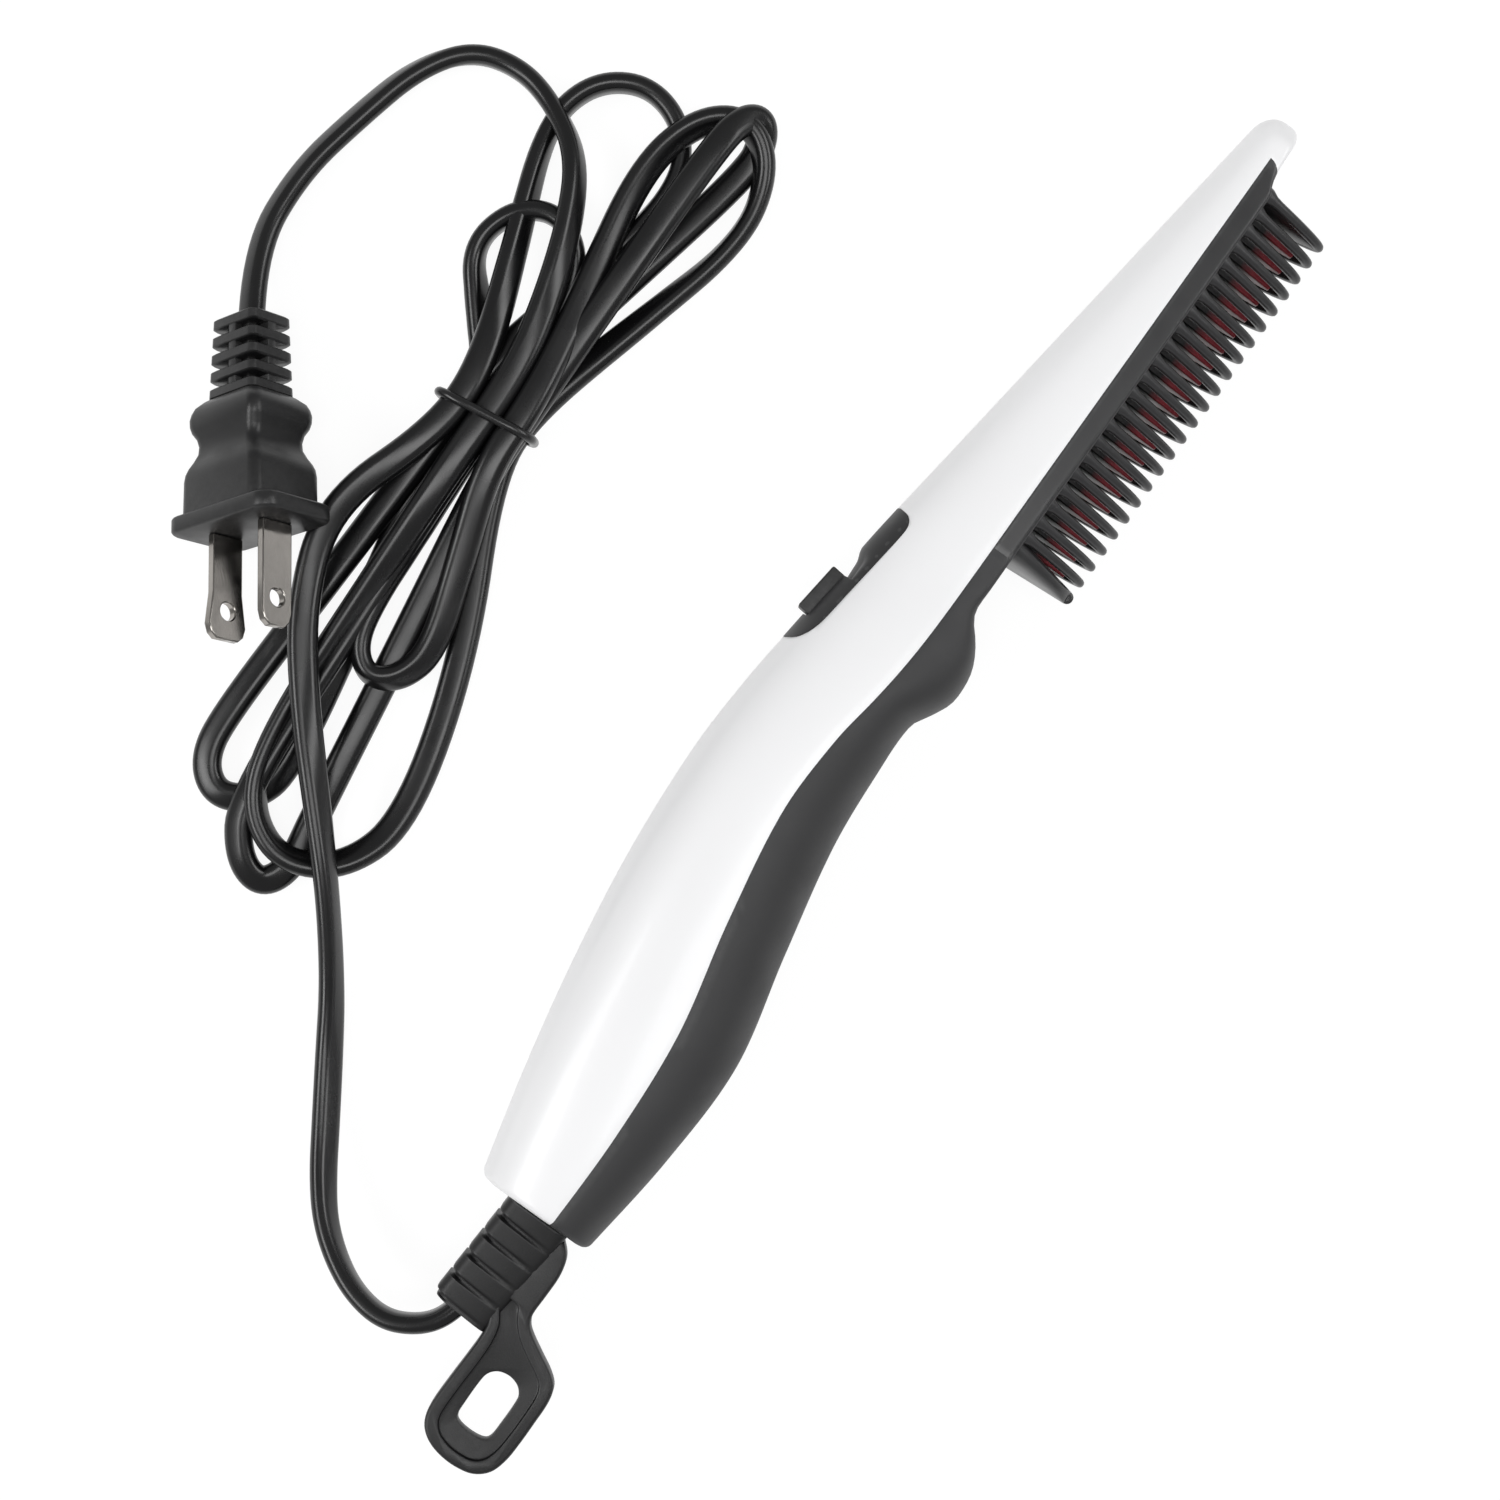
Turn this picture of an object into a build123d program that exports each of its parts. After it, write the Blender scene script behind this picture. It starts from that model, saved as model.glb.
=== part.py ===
from build123d import *
import math
import os
from collections import namedtuple

os.makedirs("parts", exist_ok=True)

# Electric hot comb, lying on its side on a flat surface.
# +X runs along the comb from the cord end to the nose, +Y from the teeth to the spine, +Z up.
# The comb's own side view has x = 0 at the butt face and y = 0 just under the head's band.

# ---------------------------------------------------------------- driving dimensions, mm
# Housing
WALL = 2.0                      # housing wall
HUMP_X = 113.8                  # peak of the finger hump, from the butt face
FIRST_TOOTH_X = 137.7           # middle of the first guard tooth
TOOTH_PITCH = 3.345
TOOTH_COUNT = 23
NOSE_OVERHANG = 13.5            # from the last tooth to the end of the nose
NOSE_LENGTH = 6.0               # length of the nose's rounding seen from the spine
NOSE_CAP = 6.2                  # from the band's end to the end of the nose
NOSE_WALL = 2.6                 # solid stretch behind the band's end
HEAD_REAR_HALF_WIDTH = 11.4     # half the head's thickness behind the teeth
HEAD_NOSE_HALF_WIDTH = 9.0      # and at the nose
HEAD_REAR_SPINE = 20.9          # spine height behind the teeth
HEAD_NOSE_SPINE = 8.2           # and at the nose
HANDLE_HALF_WIDTH = 14.0        # half the handle's thickness at its widest
BAND_TOP = 3.5                  # seam height along the head
BAND_BOTTOM = -0.3
BAND_END_RADIUS = 3.0
UPPER_FULLNESS = 0.60           # 0.55 is an ellipse, 1 a box
HANDLE_FULLNESS = 0.62
HEAD_FULLNESS = 0.93

# Guard teeth and heated comb
GUARD_REAR = 1.5                # from the guard's rear edge to the first tooth's middle
TOOTH_TIP = -13.1               # lowest point of a tooth
TOOTH_TIP_HALF_WIDTH = 0.95     # along the comb
TOOTH_ROOT_HALF_WIDTH = 1.35
TOOTH_TIP_HALF_DEPTH = 1.75     # across the comb
TOOTH_LEG = 2.1                 # thickness of one leg of the arch at its root
TOOTH_BULGE = 1.0               # how far a leg's outer face bows out, at this height
TOOTH_BULGE_HEIGHT = -6.2
LEG_INSET = 0.3                 # from the band's side to a leg's outer face
TOOTH_WEB = 2.1                 # solid height at the tip, under the heated fin
FIN_END = -9.5                  # lowest point of a heated fin
FIN_HALF_WIDTH = 1.2            # along the comb
FIN_ROOT_HALF_DEPTH = 4.6
FIN_TIP_HALF_DEPTH = 0.7
BASE_PLATE = 2.2                # thickness of the heated comb's base plate
BASE_TAB = 2.6                  # the base plate's end tabs rest on the guard's floor
BASE_TAB_HALF = 2.6
SEAT = 0.05                     # gap under a seated piece
FIT = 0.25                      # gap round a piece that drops into a window
WINDOW_ROOM = 0.4               # from the legs' inner faces to the window
SHIELD_STEP = 0.1               # the rear shield's tip starts this far ahead of its root
REAR_SHIELD = (1.5, 3.0)        # from the first tooth's middle to its tip's and root's front
NOSE_SHIELD = (1.3, 1.2, 3.4)   # the last tooth's tip behind and ahead of its middle, and its root

# Heater stack on the base plate
FILM = 0.3
FILM_MARGIN = 0.5               # the film reaches past the heaters
ELECTRODE = 0.4
HEATER_OFFSET = 6.0             # from the first tooth's middle to the first heater
HEATER_LENGTH = 17.0
HEATER_WIDTH = 7.0
HEATER_THICKNESS = 2.0
HEATER_GAP = 1.5
HEATER_COUNT = 3
CLAMP_THICKNESS = 1.0
CLAMP_ROOM = 1.0                # from the heaters' ends to the clamp's uprights
CLAMP_NARROWER = 0.5            # on each side than the heaters
FOOT_LENGTH = 5.0
FOOT_SCREW = 4.0                # from the heaters' end to the foot's screw
SMALL_SCREW_RADIUS = 0.9
SMALL_HEAD_RADIUS = 1.6
SMALL_HEAD_HEIGHT = 1.1
SMALL_SCREW_BITE = 1.8
TAB_LENGTH = 4.0
TAB_WIDTH = 3.4
FUSE_OFFSET = 8.0
FUSE_RADIUS = 1.6
FUSE_LENGTH = 9.0

# Switch on the spine
PLATE_REAR = 104.3              # pointed rear end of the switch plate
PLATE_FRONT = 133.3             # rounded front end
PLATE_DEPTH = 1.3
TRACK_DEPTH = 0.9               # the knob's track lies this far under the spine
TRACK_RAMP = 1.9                # length of the track's rising front end
RAMP_BEND = (0.6, 0.7)          # shares of its length and depth where it bends
PLATE_FIT = 0.1
PLATE_TIP_HEIGHT = 23.3         # height of the plate's pointed end
PLATE_REAR_ARC = (2.2, 21.1)    # from the rear end: a point of the rear arc, and its height
PLATE_REAR_LOW = (5.6, 19.7)    # and where the straight lower edge starts
PLATE_FRONT_LOW = (3.4, 17.1)   # from the front end: where the lower edge ends
PLATE_FRONT_ARC = (1.0, 17.9)   # and a point of the front arc
PLATE_FRONT_HEIGHT = 19.6
KNOB_REAR = 109.7
KNOB_LENGTH = 9.0
KNOB_WIDTH = 7.0
KNOB_PROUD = 1.6
KNOB_CHAMFER = 0.4
SWITCH_TRAVEL = 3.2
STEM_LENGTH = 4.0
STEM_WIDTH = 2.4
SWITCH_PAD = 3.4                # the pad under the plate that carries the switch
SWITCH_PAD_LENGTH = 22.0
SWITCH_PAD_HALF = 4.5
STEM_DEPTH = 5.8                # the lever's lower end, under the spine
SWITCH_BODY_LENGTH = 16.0
SWITCH_BODY_HEIGHT = 6.0
SWITCH_BODY_INSET = 0.5         # the switch is narrower than its pad on each side
RUNNING_GAP = 0.3

# Strain relief with its hanging loop
RELIEF_LENGTH = 21.4
RELIEF_TILT = 4.6
RELIEF_ROOT = (10.8, 9.6)
RELIEF_END = (8.2, 7.0)
RELIEF_RIBS = 5
RELIEF_GROOVE = 0.55
RIB_SHARE = 0.72                # share of the pitch that a rib fills
RELIEF_AXIS = 0.8               # height of the relief's axis at the butt
NECK = (7.6, 6.6)
FLANGE = (11.6, 10.0)
FLANGE_THICKNESS = 2.4
FLANGE_CORNER = 2.0
RELIEF_CORNER = 2.4
CUT_PAST = 1.0                  # a cut runs this far past the wall on each side
LOOP_END = -43.3                # far end of the loop from the butt face
LOOP_LOW = -19.8
LOOP_THICKNESS = 4.2
LOOP_RIM = 2.2
LOOP_CORNER = 2.0
LOOP_PANEL = 2.6                # thickness inside the rim
LOOP_FAR_CORNER = -38.2         # where the loop's end arc meets its straight sides
SLOT_FAR = -37.1                # the hanging slot's two ends
SLOT_NEAR = -25.3
SLOT_BULGE = 2.2                # how far each end of the slot is rounded out
SLOT_WIDTH = 7.0

# Inner parts
BOARD_SIZE = (52.0, 17.0)
BOARD_THICKNESS = 1.6
BOARD_HEIGHT = 9.0
BOARD_CENTRE = 66.0
CHIPS = [((-4.0, 0.0), (12.0, 8.0)), ((14.0, 3.0), (7.0, 5.0))]  # place on the board, and size
CHIP_HEIGHT = 2.2
CAPACITORS = [(-16.0, 0.0), (8.0, -4.0)]
CAPACITOR_RADIUS = 2.6
CAPACITOR_HEIGHT = 7.0
RIB_THICKNESS = 2.0
WIRE_RADIUS = 1.1
WIRE_BENDS = (2.0, 3.0)         # from the board's rear and front ends to the wires' bends
WIRE_JOINTS = (6.0, 4.0)        # how far the wires lie on its rear and front ends
HEATER_WIRE_DIP = (18.0, 8.0)   # lowest bend ahead of the board, and its height
HEATER_WIRE_RISE = 6.0          # from the last bend to the first heater
BOSS_RADIUS = 3.0
SCREW_RADIUS = 1.2
SCREW_HEAD_RADIUS = 2.3
SCREW_HEAD_HEIGHT = 1.6
SCREW_CLEARANCE = 0.1
SCREW_BITE = 6.5                # length in the other shell's post
SCREW_END_ROOM = 1.0            # depth of a screw hole past the screw's end
SCREW_SEAT = 4.0                # from the seam to the screw's head
CLAMP_X = 15.0                  # middle of the cord clamp
CLAMP_LENGTH = 5.0
CLAMP_HALF = 8.0
CLAMP_SCREW = 5.6
CLAMP_BAR = 2.0
CORE_OFFSET = 1.3               # the two cores lie this far from the middle
WIRE_SPREAD = 5.2
HOUSING_SCREW_STATIONS = [30.0, 97.0]

# Flat two-core cord and its plug
CORD_WIDTH = 5.4
CORD_THICKNESS = 3.4
TIE_WIDTH = 3.2
TIE_THICKNESS = 0.9
BUNDLE_WIDTH = 18.4
BUNDLE_HEIGHT = 10.6
TIE_X = 14.9                    # middle of the tie
TIE_Y = 84.9
WAIST_REACH = 14.0              # the tied bundle runs this far into each fan
FAN_START = 6.0                 # from the tie's middle to each fan
HANK_FLOOR = 0.15
HANK_END_MARGIN = 1.0           # the hank's edge reaches past each side of the cord's end
BEND_SHARE = 0.45               # share of the shorter run that a bend may use
FAN_HEIGHT = 8.0
PLUG_HEADING = 217.4            # where the blades point, about +Z from +X
PLUG_RAISE = 12.3               # how far the blades point up from the surface
PLUG_ROLL = 39.0
PLUG_RELIEF = 15.4
PLUG_BODY = 21.0
PLUG_GROOVES = 4
PLUG_FLANGE = (26.0, 16.0)
PLUG_FLANGE_THICKNESS = 3.0
PLUG_FLANGE_CORNER = 5.0
PLUG_GROOVE_START = 3.0         # from the relief's end to the first groove
PLUG_GROOVE_PITCH = 3.1
PLUG_GROOVE_LENGTH = 1.3
PLUG_CORE = (7.2, 6.4)          # the relief inside its grooves
PLUG_CORE_CORNER = 2.0
PLUG_CUT = 20.0                 # wider than the relief, for cutting its grooves
BLADE_LENGTH = 17.0
BLADE_WIDTH = 6.35
WIDE_BLADE_TIP = 7.9
BLADE_THICKNESS = 1.5
BLADE_STRAIGHT_SHARE = 0.55     # share of a blade's length before it flares
BLADE_POINT = 2.5               # length of the tip's slanted corners
BLADE_POINT_INSET = 1.4         # and how far they draw in
BLADE_SPACING = 12.7
BLADE_HOLE_RADIUS = 1.6
BLADE_HOLE_FROM_TIP = 5.0

# Free stretches of the cord, chosen point by point; the surface is z = 0.
# The lead leaves the strain relief and the tail ends in the plug, each with a straight run
# along that piece's own axis, and both meet the hank.
LEAD_ROUTE = [
    (-123.6, 6.2, 12.6),
    (-123.4, 14.6, 10.8),
    (-118.4, 23.6, 8.2),
    (-108.5, 31.8, 5.6),
    (-95.5, 40.2, 3.4),
    (-81.0, 49.4, 2.4),
    (-68.2, 59.2, 2.4),
]
TAIL_ROUTE = [
    (66.6, 107.8, 2.4),
    (69.8, 116.6, 2.4),
    (67.0, 125.6, 2.4),
    (58.0, 131.8, 2.4),
    (45.6, 134.6, 2.5),
    (31.0, 137.6, 2.9),
]
PLUG_START = (5.0, 128.0, 6.4)
EXIT_RUN = 6.6                  # straight run out of the strain relief
PLUG_RUN = 13.0                 # and into the plug

# ---------------------------------------------------------------- derived places
HEATER_START = FIRST_TOOTH_X + HEATER_OFFSET
HEATER_FINISH = HEATER_START + HEATER_COUNT * (HEATER_LENGTH + HEATER_GAP) - HEATER_GAP
LAST_TOOTH_X = FIRST_TOOTH_X + (TOOTH_COUNT - 1) * TOOTH_PITCH
HOUSING_LENGTH = LAST_TOOTH_X + NOSE_OVERHANG
GUARD_START = FIRST_TOOTH_X - GUARD_REAR
BAND_END = HOUSING_LENGTH - NOSE_CAP
CAVITY_END = BAND_END - NOSE_WALL
HUMP_START = -9.5               # first section of the hump, from its peak
HUMP_STEP = 3.5
HEAD_REAR_X = HUMP_X + HUMP_START + 7 * HUMP_STEP
SPINE_PEAK = 25.05
CENTRE_X = (HOUSING_LENGTH + LOOP_END) / 2
CENTRE_Y = (SPINE_PEAK + LOOP_LOW) / 2
MID_HEIGHT = HANDLE_HALF_WIDTH
CORD_RADIUS = math.sqrt((CORD_WIDTH - CORD_THICKNESS) * CORD_THICKNESS / math.pi
                        + CORD_THICKNESS ** 2 / 4)
HEAD_SLOPE = (HEAD_NOSE_SPINE - HEAD_REAR_SPINE) / (HOUSING_LENGTH - HEAD_REAR_X)
waist_height = HANK_FLOOR + TIE_THICKNESS + BUNDLE_HEIGHT / 2
FAR = 60.0                      # larger than any section of the comb

Station = namedtuple("Station", "x spine widest belly half_width fullness")


def side_plane(height=0.0):
    """Plane of the comb's side view, at a height over its middle plane."""
    return Plane(origin=(-CENTRE_X, -CENTRE_Y, MID_HEIGHT + height))


def section_plane(x):
    """Plane across the comb at x: its own x is the comb's height, its own y the thickness."""
    return Plane(origin=(x - CENTRE_X, -CENTRE_Y, MID_HEIGHT), x_dir=(0, 1, 0), z_dir=(1, 0, 0))


def level_plane(y):
    """Plane facing the spine at height y: its own x runs along the comb, its own y is -Z."""
    return Plane(origin=(-CENTRE_X, y - CENTRE_Y, MID_HEIGHT), x_dir=(1, 0, 0), z_dir=(0, 1, 0))


def head_share(x):
    """0 behind the teeth, 1 at the nose."""
    return (x - HEAD_REAR_X) / (HOUSING_LENGTH - HEAD_REAR_X)


def head_spine(x):
    """Spine height along the straight head."""
    return HEAD_REAR_SPINE + HEAD_SLOPE * (x - HEAD_REAR_X)


def head_half_width(x):
    """Half the head's thickness along the head."""
    return HEAD_REAR_HALF_WIDTH + (HEAD_NOSE_HALF_WIDTH - HEAD_REAR_HALF_WIDTH) * head_share(x)


def handle_stations():
    """Sections from the butt to the hump, at shares of the distance between them."""
    grow = HANDLE_HALF_WIDTH
    rows = [
        (0.000, 12.3, -2.1, -9.9, grow - 2.8),
        (0.176, 17.1, -2.2, -12.2, grow - 1.1),
        (0.351, 21.0, -0.8, -12.6, grow - 0.3),
        (0.527, 23.8, 3.4, -8.3, grow),
        (0.703, SPINE_PEAK, 6.6, -4.3, grow),
        (0.830, 24.5, 6.3, -3.1, grow - 0.3),
    ]
    return [Station(share * HUMP_X, spine, seam, belly, half, HANDLE_FULLNESS)
            for share, spine, seam, belly, half in rows]


def hump_stations():
    """Sections over the finger hump, evenly spaced from before its peak to the head."""
    rows = [
        (23.55, 4.90, -3.0, 1.9),
        (23.20, 4.45, -4.8, 1.65),
        (22.80, 4.10, -6.4, 1.4),
        (22.40, 3.85, -6.6, 1.15),
        (21.98, 3.68, -5.9, 0.9),
        (21.55, 3.57, -3.9, 0.65),
        (21.12, BAND_TOP + 0.02, -0.9, 0.35),
    ]
    return [Station(HUMP_X + HUMP_START + index * HUMP_STEP, spine, seam, belly,
                    HEAD_REAR_HALF_WIDTH + extra,
                    HANDLE_FULLNESS + (HEAD_FULLNESS - HANDLE_FULLNESS) * index / len(rows))
            for index, (spine, seam, belly, extra) in enumerate(rows)]


def head_stations():
    """The two ends of the straight head."""
    return [Station(x, head_spine(x), BAND_TOP, BAND_BOTTOM, head_half_width(x), HEAD_FULLNESS)
            for x in (HEAD_REAR_X, HOUSING_LENGTH)]


HANDLE = handle_stations()
HUMP = hump_stations()
HEAD = head_stations()
STATIONS = HANDLE + HUMP + HEAD


def housing_outline(station, inset):
    """Closed outline of one section: four quarters that run round from the widest line."""
    seam = station.widest
    half = station.half_width - inset
    top = station.spine - inset
    bottom = station.belly + inset
    rise = UPPER_FULLNESS * (top - seam)
    drop = station.fullness * (bottom - seam)
    upper_half = UPPER_FULLNESS * half
    lower_half = station.fullness * half
    Bezier((seam, half), (seam + rise, half), (top, upper_half), (top, 0))
    Bezier((top, 0), (top, -upper_half), (seam + rise, -half), (seam, -half))
    Bezier((seam, -half), (seam + drop, -half), (bottom, -lower_half), (bottom, 0))
    Bezier((bottom, 0), (bottom, lower_half), (seam + drop, half), (seam, half))


def loft_through(stations, inset):
    """A smooth solid through the sections at these stations, all drawn in by an inset."""
    with BuildPart() as form:
        for station in stations:
            with BuildSketch(section_plane(station.x)):
                with BuildLine():
                    housing_outline(station, inset)
                make_face()
        loft(ruled=len(stations) == 2)
    return form.part


def housing_form(inset):
    """The housing's outer form, or the same form drawn in by an inset."""
    handle = loft_through(HANDLE + HUMP[:1], inset)
    hump = loft_through(HUMP + HEAD[:1], inset)
    head = loft_through(HEAD, inset)
    return handle + hump + head


def slab(x_low, x_high, y_low, y_high, half):
    """A box given by its span along the comb, its heights and half its thickness."""
    with BuildPart() as block:
        with BuildSketch(side_plane()):
            with Locations(((x_low + x_high) / 2, (y_low + y_high) / 2)):
                Rectangle(x_high - x_low, y_high - y_low)
        extrude(amount=half, both=True)
    return block.part


def lower_side():
    """Everything on the teeth's side of the seam, up to the end of the band."""
    handle_seam = [(station.x, station.widest) for station in HANDLE + HUMP + HEAD[:1]]
    with BuildPart() as region:
        with BuildSketch(side_plane()):
            with BuildLine():
                seam = Spline(*handle_seam, tangents=[(1, 0), (1, 0)])
                start = seam @ 0
                Line((start.X, start.Y), (-FAR, start.Y))
                Line((-FAR, start.Y), (-FAR, -FAR))
                Line((-FAR, -FAR), (BAND_END, -FAR))
                Line((BAND_END, -FAR), (BAND_END, BAND_TOP))
                Line((BAND_END, BAND_TOP), handle_seam[-1])
            make_face()
        extrude(amount=FAR / 2, both=True)
    return region.part


def boss(x, y_low, y_high, radius=BOSS_RADIUS):
    """A round post whose axis runs from the belly to the spine."""
    with BuildPart() as post:
        with BuildSketch(level_plane(y_low)):
            with Locations((x, 0)):
                Circle(radius)
        extrude(amount=y_high - y_low)
    return post.part


def nose_waste():
    """What is cut off round the nose: a half circle seen from the side, an ellipse from above."""
    top = head_spine(HOUSING_LENGTH - NOSE_LENGTH)
    radius = (top - BAND_BOTTOM) / 2
    centre = (HOUSING_LENGTH - radius, (top + BAND_BOTTOM) / 2)
    with BuildPart() as side_cut:
        with BuildSketch(side_plane()):
            with Locations((centre[0] + FAR / 2, 0)):
                Rectangle(FAR, 2 * FAR)
            with Locations(centre):
                Circle(radius, mode=Mode.SUBTRACT)
        extrude(amount=FAR, both=True)
    with BuildPart() as plan_cut:
        with BuildSketch(level_plane(-FAR)):
            with Locations((HOUSING_LENGTH - NOSE_LENGTH + FAR / 2, 0)):
                Rectangle(FAR, 2 * FAR)
            with Locations((HOUSING_LENGTH - NOSE_LENGTH, 0)):
                Ellipse(NOSE_LENGTH, head_half_width(HOUSING_LENGTH - NOSE_LENGTH), mode=Mode.SUBTRACT)
        extrude(amount=2 * FAR)
    return side_cut.part + plan_cut.part


outer_form = housing_form(0) - nose_waste()
cavity_whole = housing_form(WALL)
cavity = cavity_whole & slab(WALL, CAVITY_END, -FAR, FAR, FAR)
below_seam = lower_side()

upper_form = outer_form - below_seam
lower_form = outer_form & below_seam


def station_value(x, name):
    """A value of the station table at x, read between its rows."""
    for before, after in zip(STATIONS, STATIONS[1:]):
        if x <= after.x:
            share = (x - before.x) / (after.x - before.x)
            low = getattr(before, name)
            return low + share * (getattr(after, name) - low)
    return getattr(STATIONS[-1], name)


def place(x, y, z=0.0):
    """A point of the comb's side view in the part's frame."""
    return Vector(x - CENTRE_X, y - CENTRE_Y, MID_HEIGHT + z)


# ---------------------------------------------------------------- shapes both shells share
relief_plane = Plane(origin=place(0, RELIEF_AXIS), x_dir=(0, 1, 0), z_dir=(-1, 0, 0))
with BuildPart() as neck_hole:
    with BuildSketch(relief_plane.offset(-WALL - CUT_PAST)):
        RectangleRounded(NECK[0] + 2 * PLATE_FIT, NECK[1] + 2 * PLATE_FIT, NECK[1] / 3)
    extrude(amount=WALL + 2 * CUT_PAST)

board_low = BOARD_CENTRE - BOARD_SIZE[0] / 2
board_high = BOARD_CENTRE + BOARD_SIZE[0] / 2
switch_middle = KNOB_REAR + KNOB_LENGTH / 2
spine_rise = station_value(KNOB_REAR + KNOB_LENGTH, "spine") - station_value(KNOB_REAR, "spine")
slide_angle = math.degrees(math.atan2(spine_rise, KNOB_LENGTH))
slide_direction = Vector(1, 0, 0).rotate(Axis.Z, slide_angle)
switch_plane = Plane(origin=place(switch_middle, station_value(switch_middle, "spine")),
                     x_dir=slide_direction, z_dir=(0, 0, 1))
slot_rear = -STEM_LENGTH / 2 - RUNNING_GAP
slot_front = STEM_LENGTH / 2 + SWITCH_TRAVEL + RUNNING_GAP


def switch_block(x_low, x_high, y_low, y_high, half):
    """A box in the tilted plane of the switch, whose y = 0 is the spine over the knob."""
    with BuildPart() as block:
        with BuildSketch(switch_plane):
            with Locations(((x_low + x_high) / 2, (y_low + y_high) / 2)):
                Rectangle(x_high - x_low, y_high - y_low)
        extrude(amount=half, both=True)
    return block.part


def plate_outline(fit):
    """The switch plate's side view, drawn in by a fit: pointed behind, rounded in front."""
    tip = (PLATE_REAR + fit, PLATE_TIP_HEIGHT)
    low_rear = (PLATE_REAR + PLATE_REAR_LOW[0], PLATE_REAR_LOW[1] + fit)
    low_front = (PLATE_FRONT - PLATE_FRONT_LOW[0], PLATE_FRONT_LOW[1] + fit)
    front = (PLATE_FRONT - fit, PLATE_FRONT_HEIGHT)
    rear_arc = (PLATE_REAR + PLATE_REAR_ARC[0] + fit, PLATE_REAR_ARC[1] + fit)
    front_arc = (PLATE_FRONT - PLATE_FRONT_ARC[0] - fit, PLATE_FRONT_ARC[1] + fit)
    with BuildPart() as region:
        with BuildSketch(side_plane()):
            with BuildLine():
                ThreePointArc(tip, rear_arc, low_rear)
                Line(low_rear, low_front)
                ThreePointArc(low_front, front_arc, front)
                Polyline(front, (PLATE_FRONT - fit, FAR), (PLATE_REAR + fit, FAR), tip)
            make_face()
        extrude(amount=HANDLE_HALF_WIDTH, both=True)
    return region.part


plate_floor = housing_form(PLATE_DEPTH)
lever_slot = switch_block(slot_rear, slot_front, -2 * SWITCH_PAD, SWITCH_PAD, STEM_WIDTH / 2 + RUNNING_GAP)

# ---------------------------------------------------------------- spine shell
with BuildPart() as spine_shell:
    add(upper_form)
    add(cavity, mode=Mode.SUBTRACT)
    pad_end = SWITCH_PAD_LENGTH / 2
    pad = switch_block(-pad_end, pad_end, -SWITCH_PAD, SWITCH_PAD, SWITCH_PAD_HALF)
    add(pad & upper_form)
    for screw_x in HOUSING_SCREW_STATIONS:
        post = boss(screw_x, station_value(screw_x, "widest"), SPINE_PEAK)
        add(post & upper_form)
        add(boss(screw_x, -FAR / 3, station_value(screw_x, "widest") + SCREW_BITE + SCREW_END_ROOM,
                 SCREW_RADIUS), mode=Mode.SUBTRACT)
    add(plate_outline(0) - plate_floor, mode=Mode.SUBTRACT)
    add(lever_slot, mode=Mode.SUBTRACT)
    add(neck_hole.part, mode=Mode.SUBTRACT)
spine_shell.part.label = "spine_shell"
export_step(spine_shell.part, "parts/spine_shell.step")

# ---------------------------------------------------------------- grip shell
with BuildPart() as grip_shell:
    add(lower_form)
    add(cavity, mode=Mode.SUBTRACT)
    for screw_x in HOUSING_SCREW_STATIONS:
        add(boss(screw_x, -FAR / 3, station_value(screw_x, "widest")) & lower_form)
    for rib_x in (board_low + RIB_THICKNESS, board_high - RIB_THICKNESS):
        rib = slab(rib_x - RIB_THICKNESS / 2, rib_x + RIB_THICKNESS / 2, -FAR / 3,
                   BOARD_HEIGHT, BOARD_SIZE[1] / 2)
        add(rib & outer_form)
    clamp_seat = slab(CLAMP_X - CLAMP_LENGTH / 2, CLAMP_X + CLAMP_LENGTH / 2, -FAR / 3,
                      RELIEF_AXIS - WIRE_RADIUS, CLAMP_HALF)
    add(clamp_seat & outer_form)
    add(slab(GUARD_START, HOUSING_LENGTH, -FAR, FAR, FAR), mode=Mode.SUBTRACT)
    for screw_x in HOUSING_SCREW_STATIONS:
        seat = station_value(screw_x, "widest") - SCREW_SEAT
        add(boss(screw_x, -FAR / 3, seat, SCREW_HEAD_RADIUS + SCREW_CLEARANCE), mode=Mode.SUBTRACT)
        add(boss(screw_x, -FAR / 3, FAR / 3, SCREW_RADIUS + SCREW_CLEARANCE), mode=Mode.SUBTRACT)
    with BuildSketch(level_plane(RELIEF_AXIS)):
        with Locations((CLAMP_X, CLAMP_SCREW), (CLAMP_X, -CLAMP_SCREW)):
            Circle(SCREW_RADIUS)
    extrude(amount=-SCREW_BITE, mode=Mode.SUBTRACT)
    add(neck_hole.part, mode=Mode.SUBTRACT)
grip_shell.part.label = "grip_shell"
export_step(grip_shell.part, "parts/grip_shell.step")

# ---------------------------------------------------------------- tooth guard
TOOTH_SPOTS = [FIRST_TOOTH_X + index * TOOTH_PITCH for index in range(TOOTH_COUNT)]
FIN_SPOTS = TOOTH_SPOTS[1:-1]
LEG_ROOT = BAND_BOTTOM + WALL / 2


def leg_root_half(x):
    """Where a tooth's legs leave the band, from the middle plane."""
    return head_half_width(x) - LEG_INSET


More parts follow.
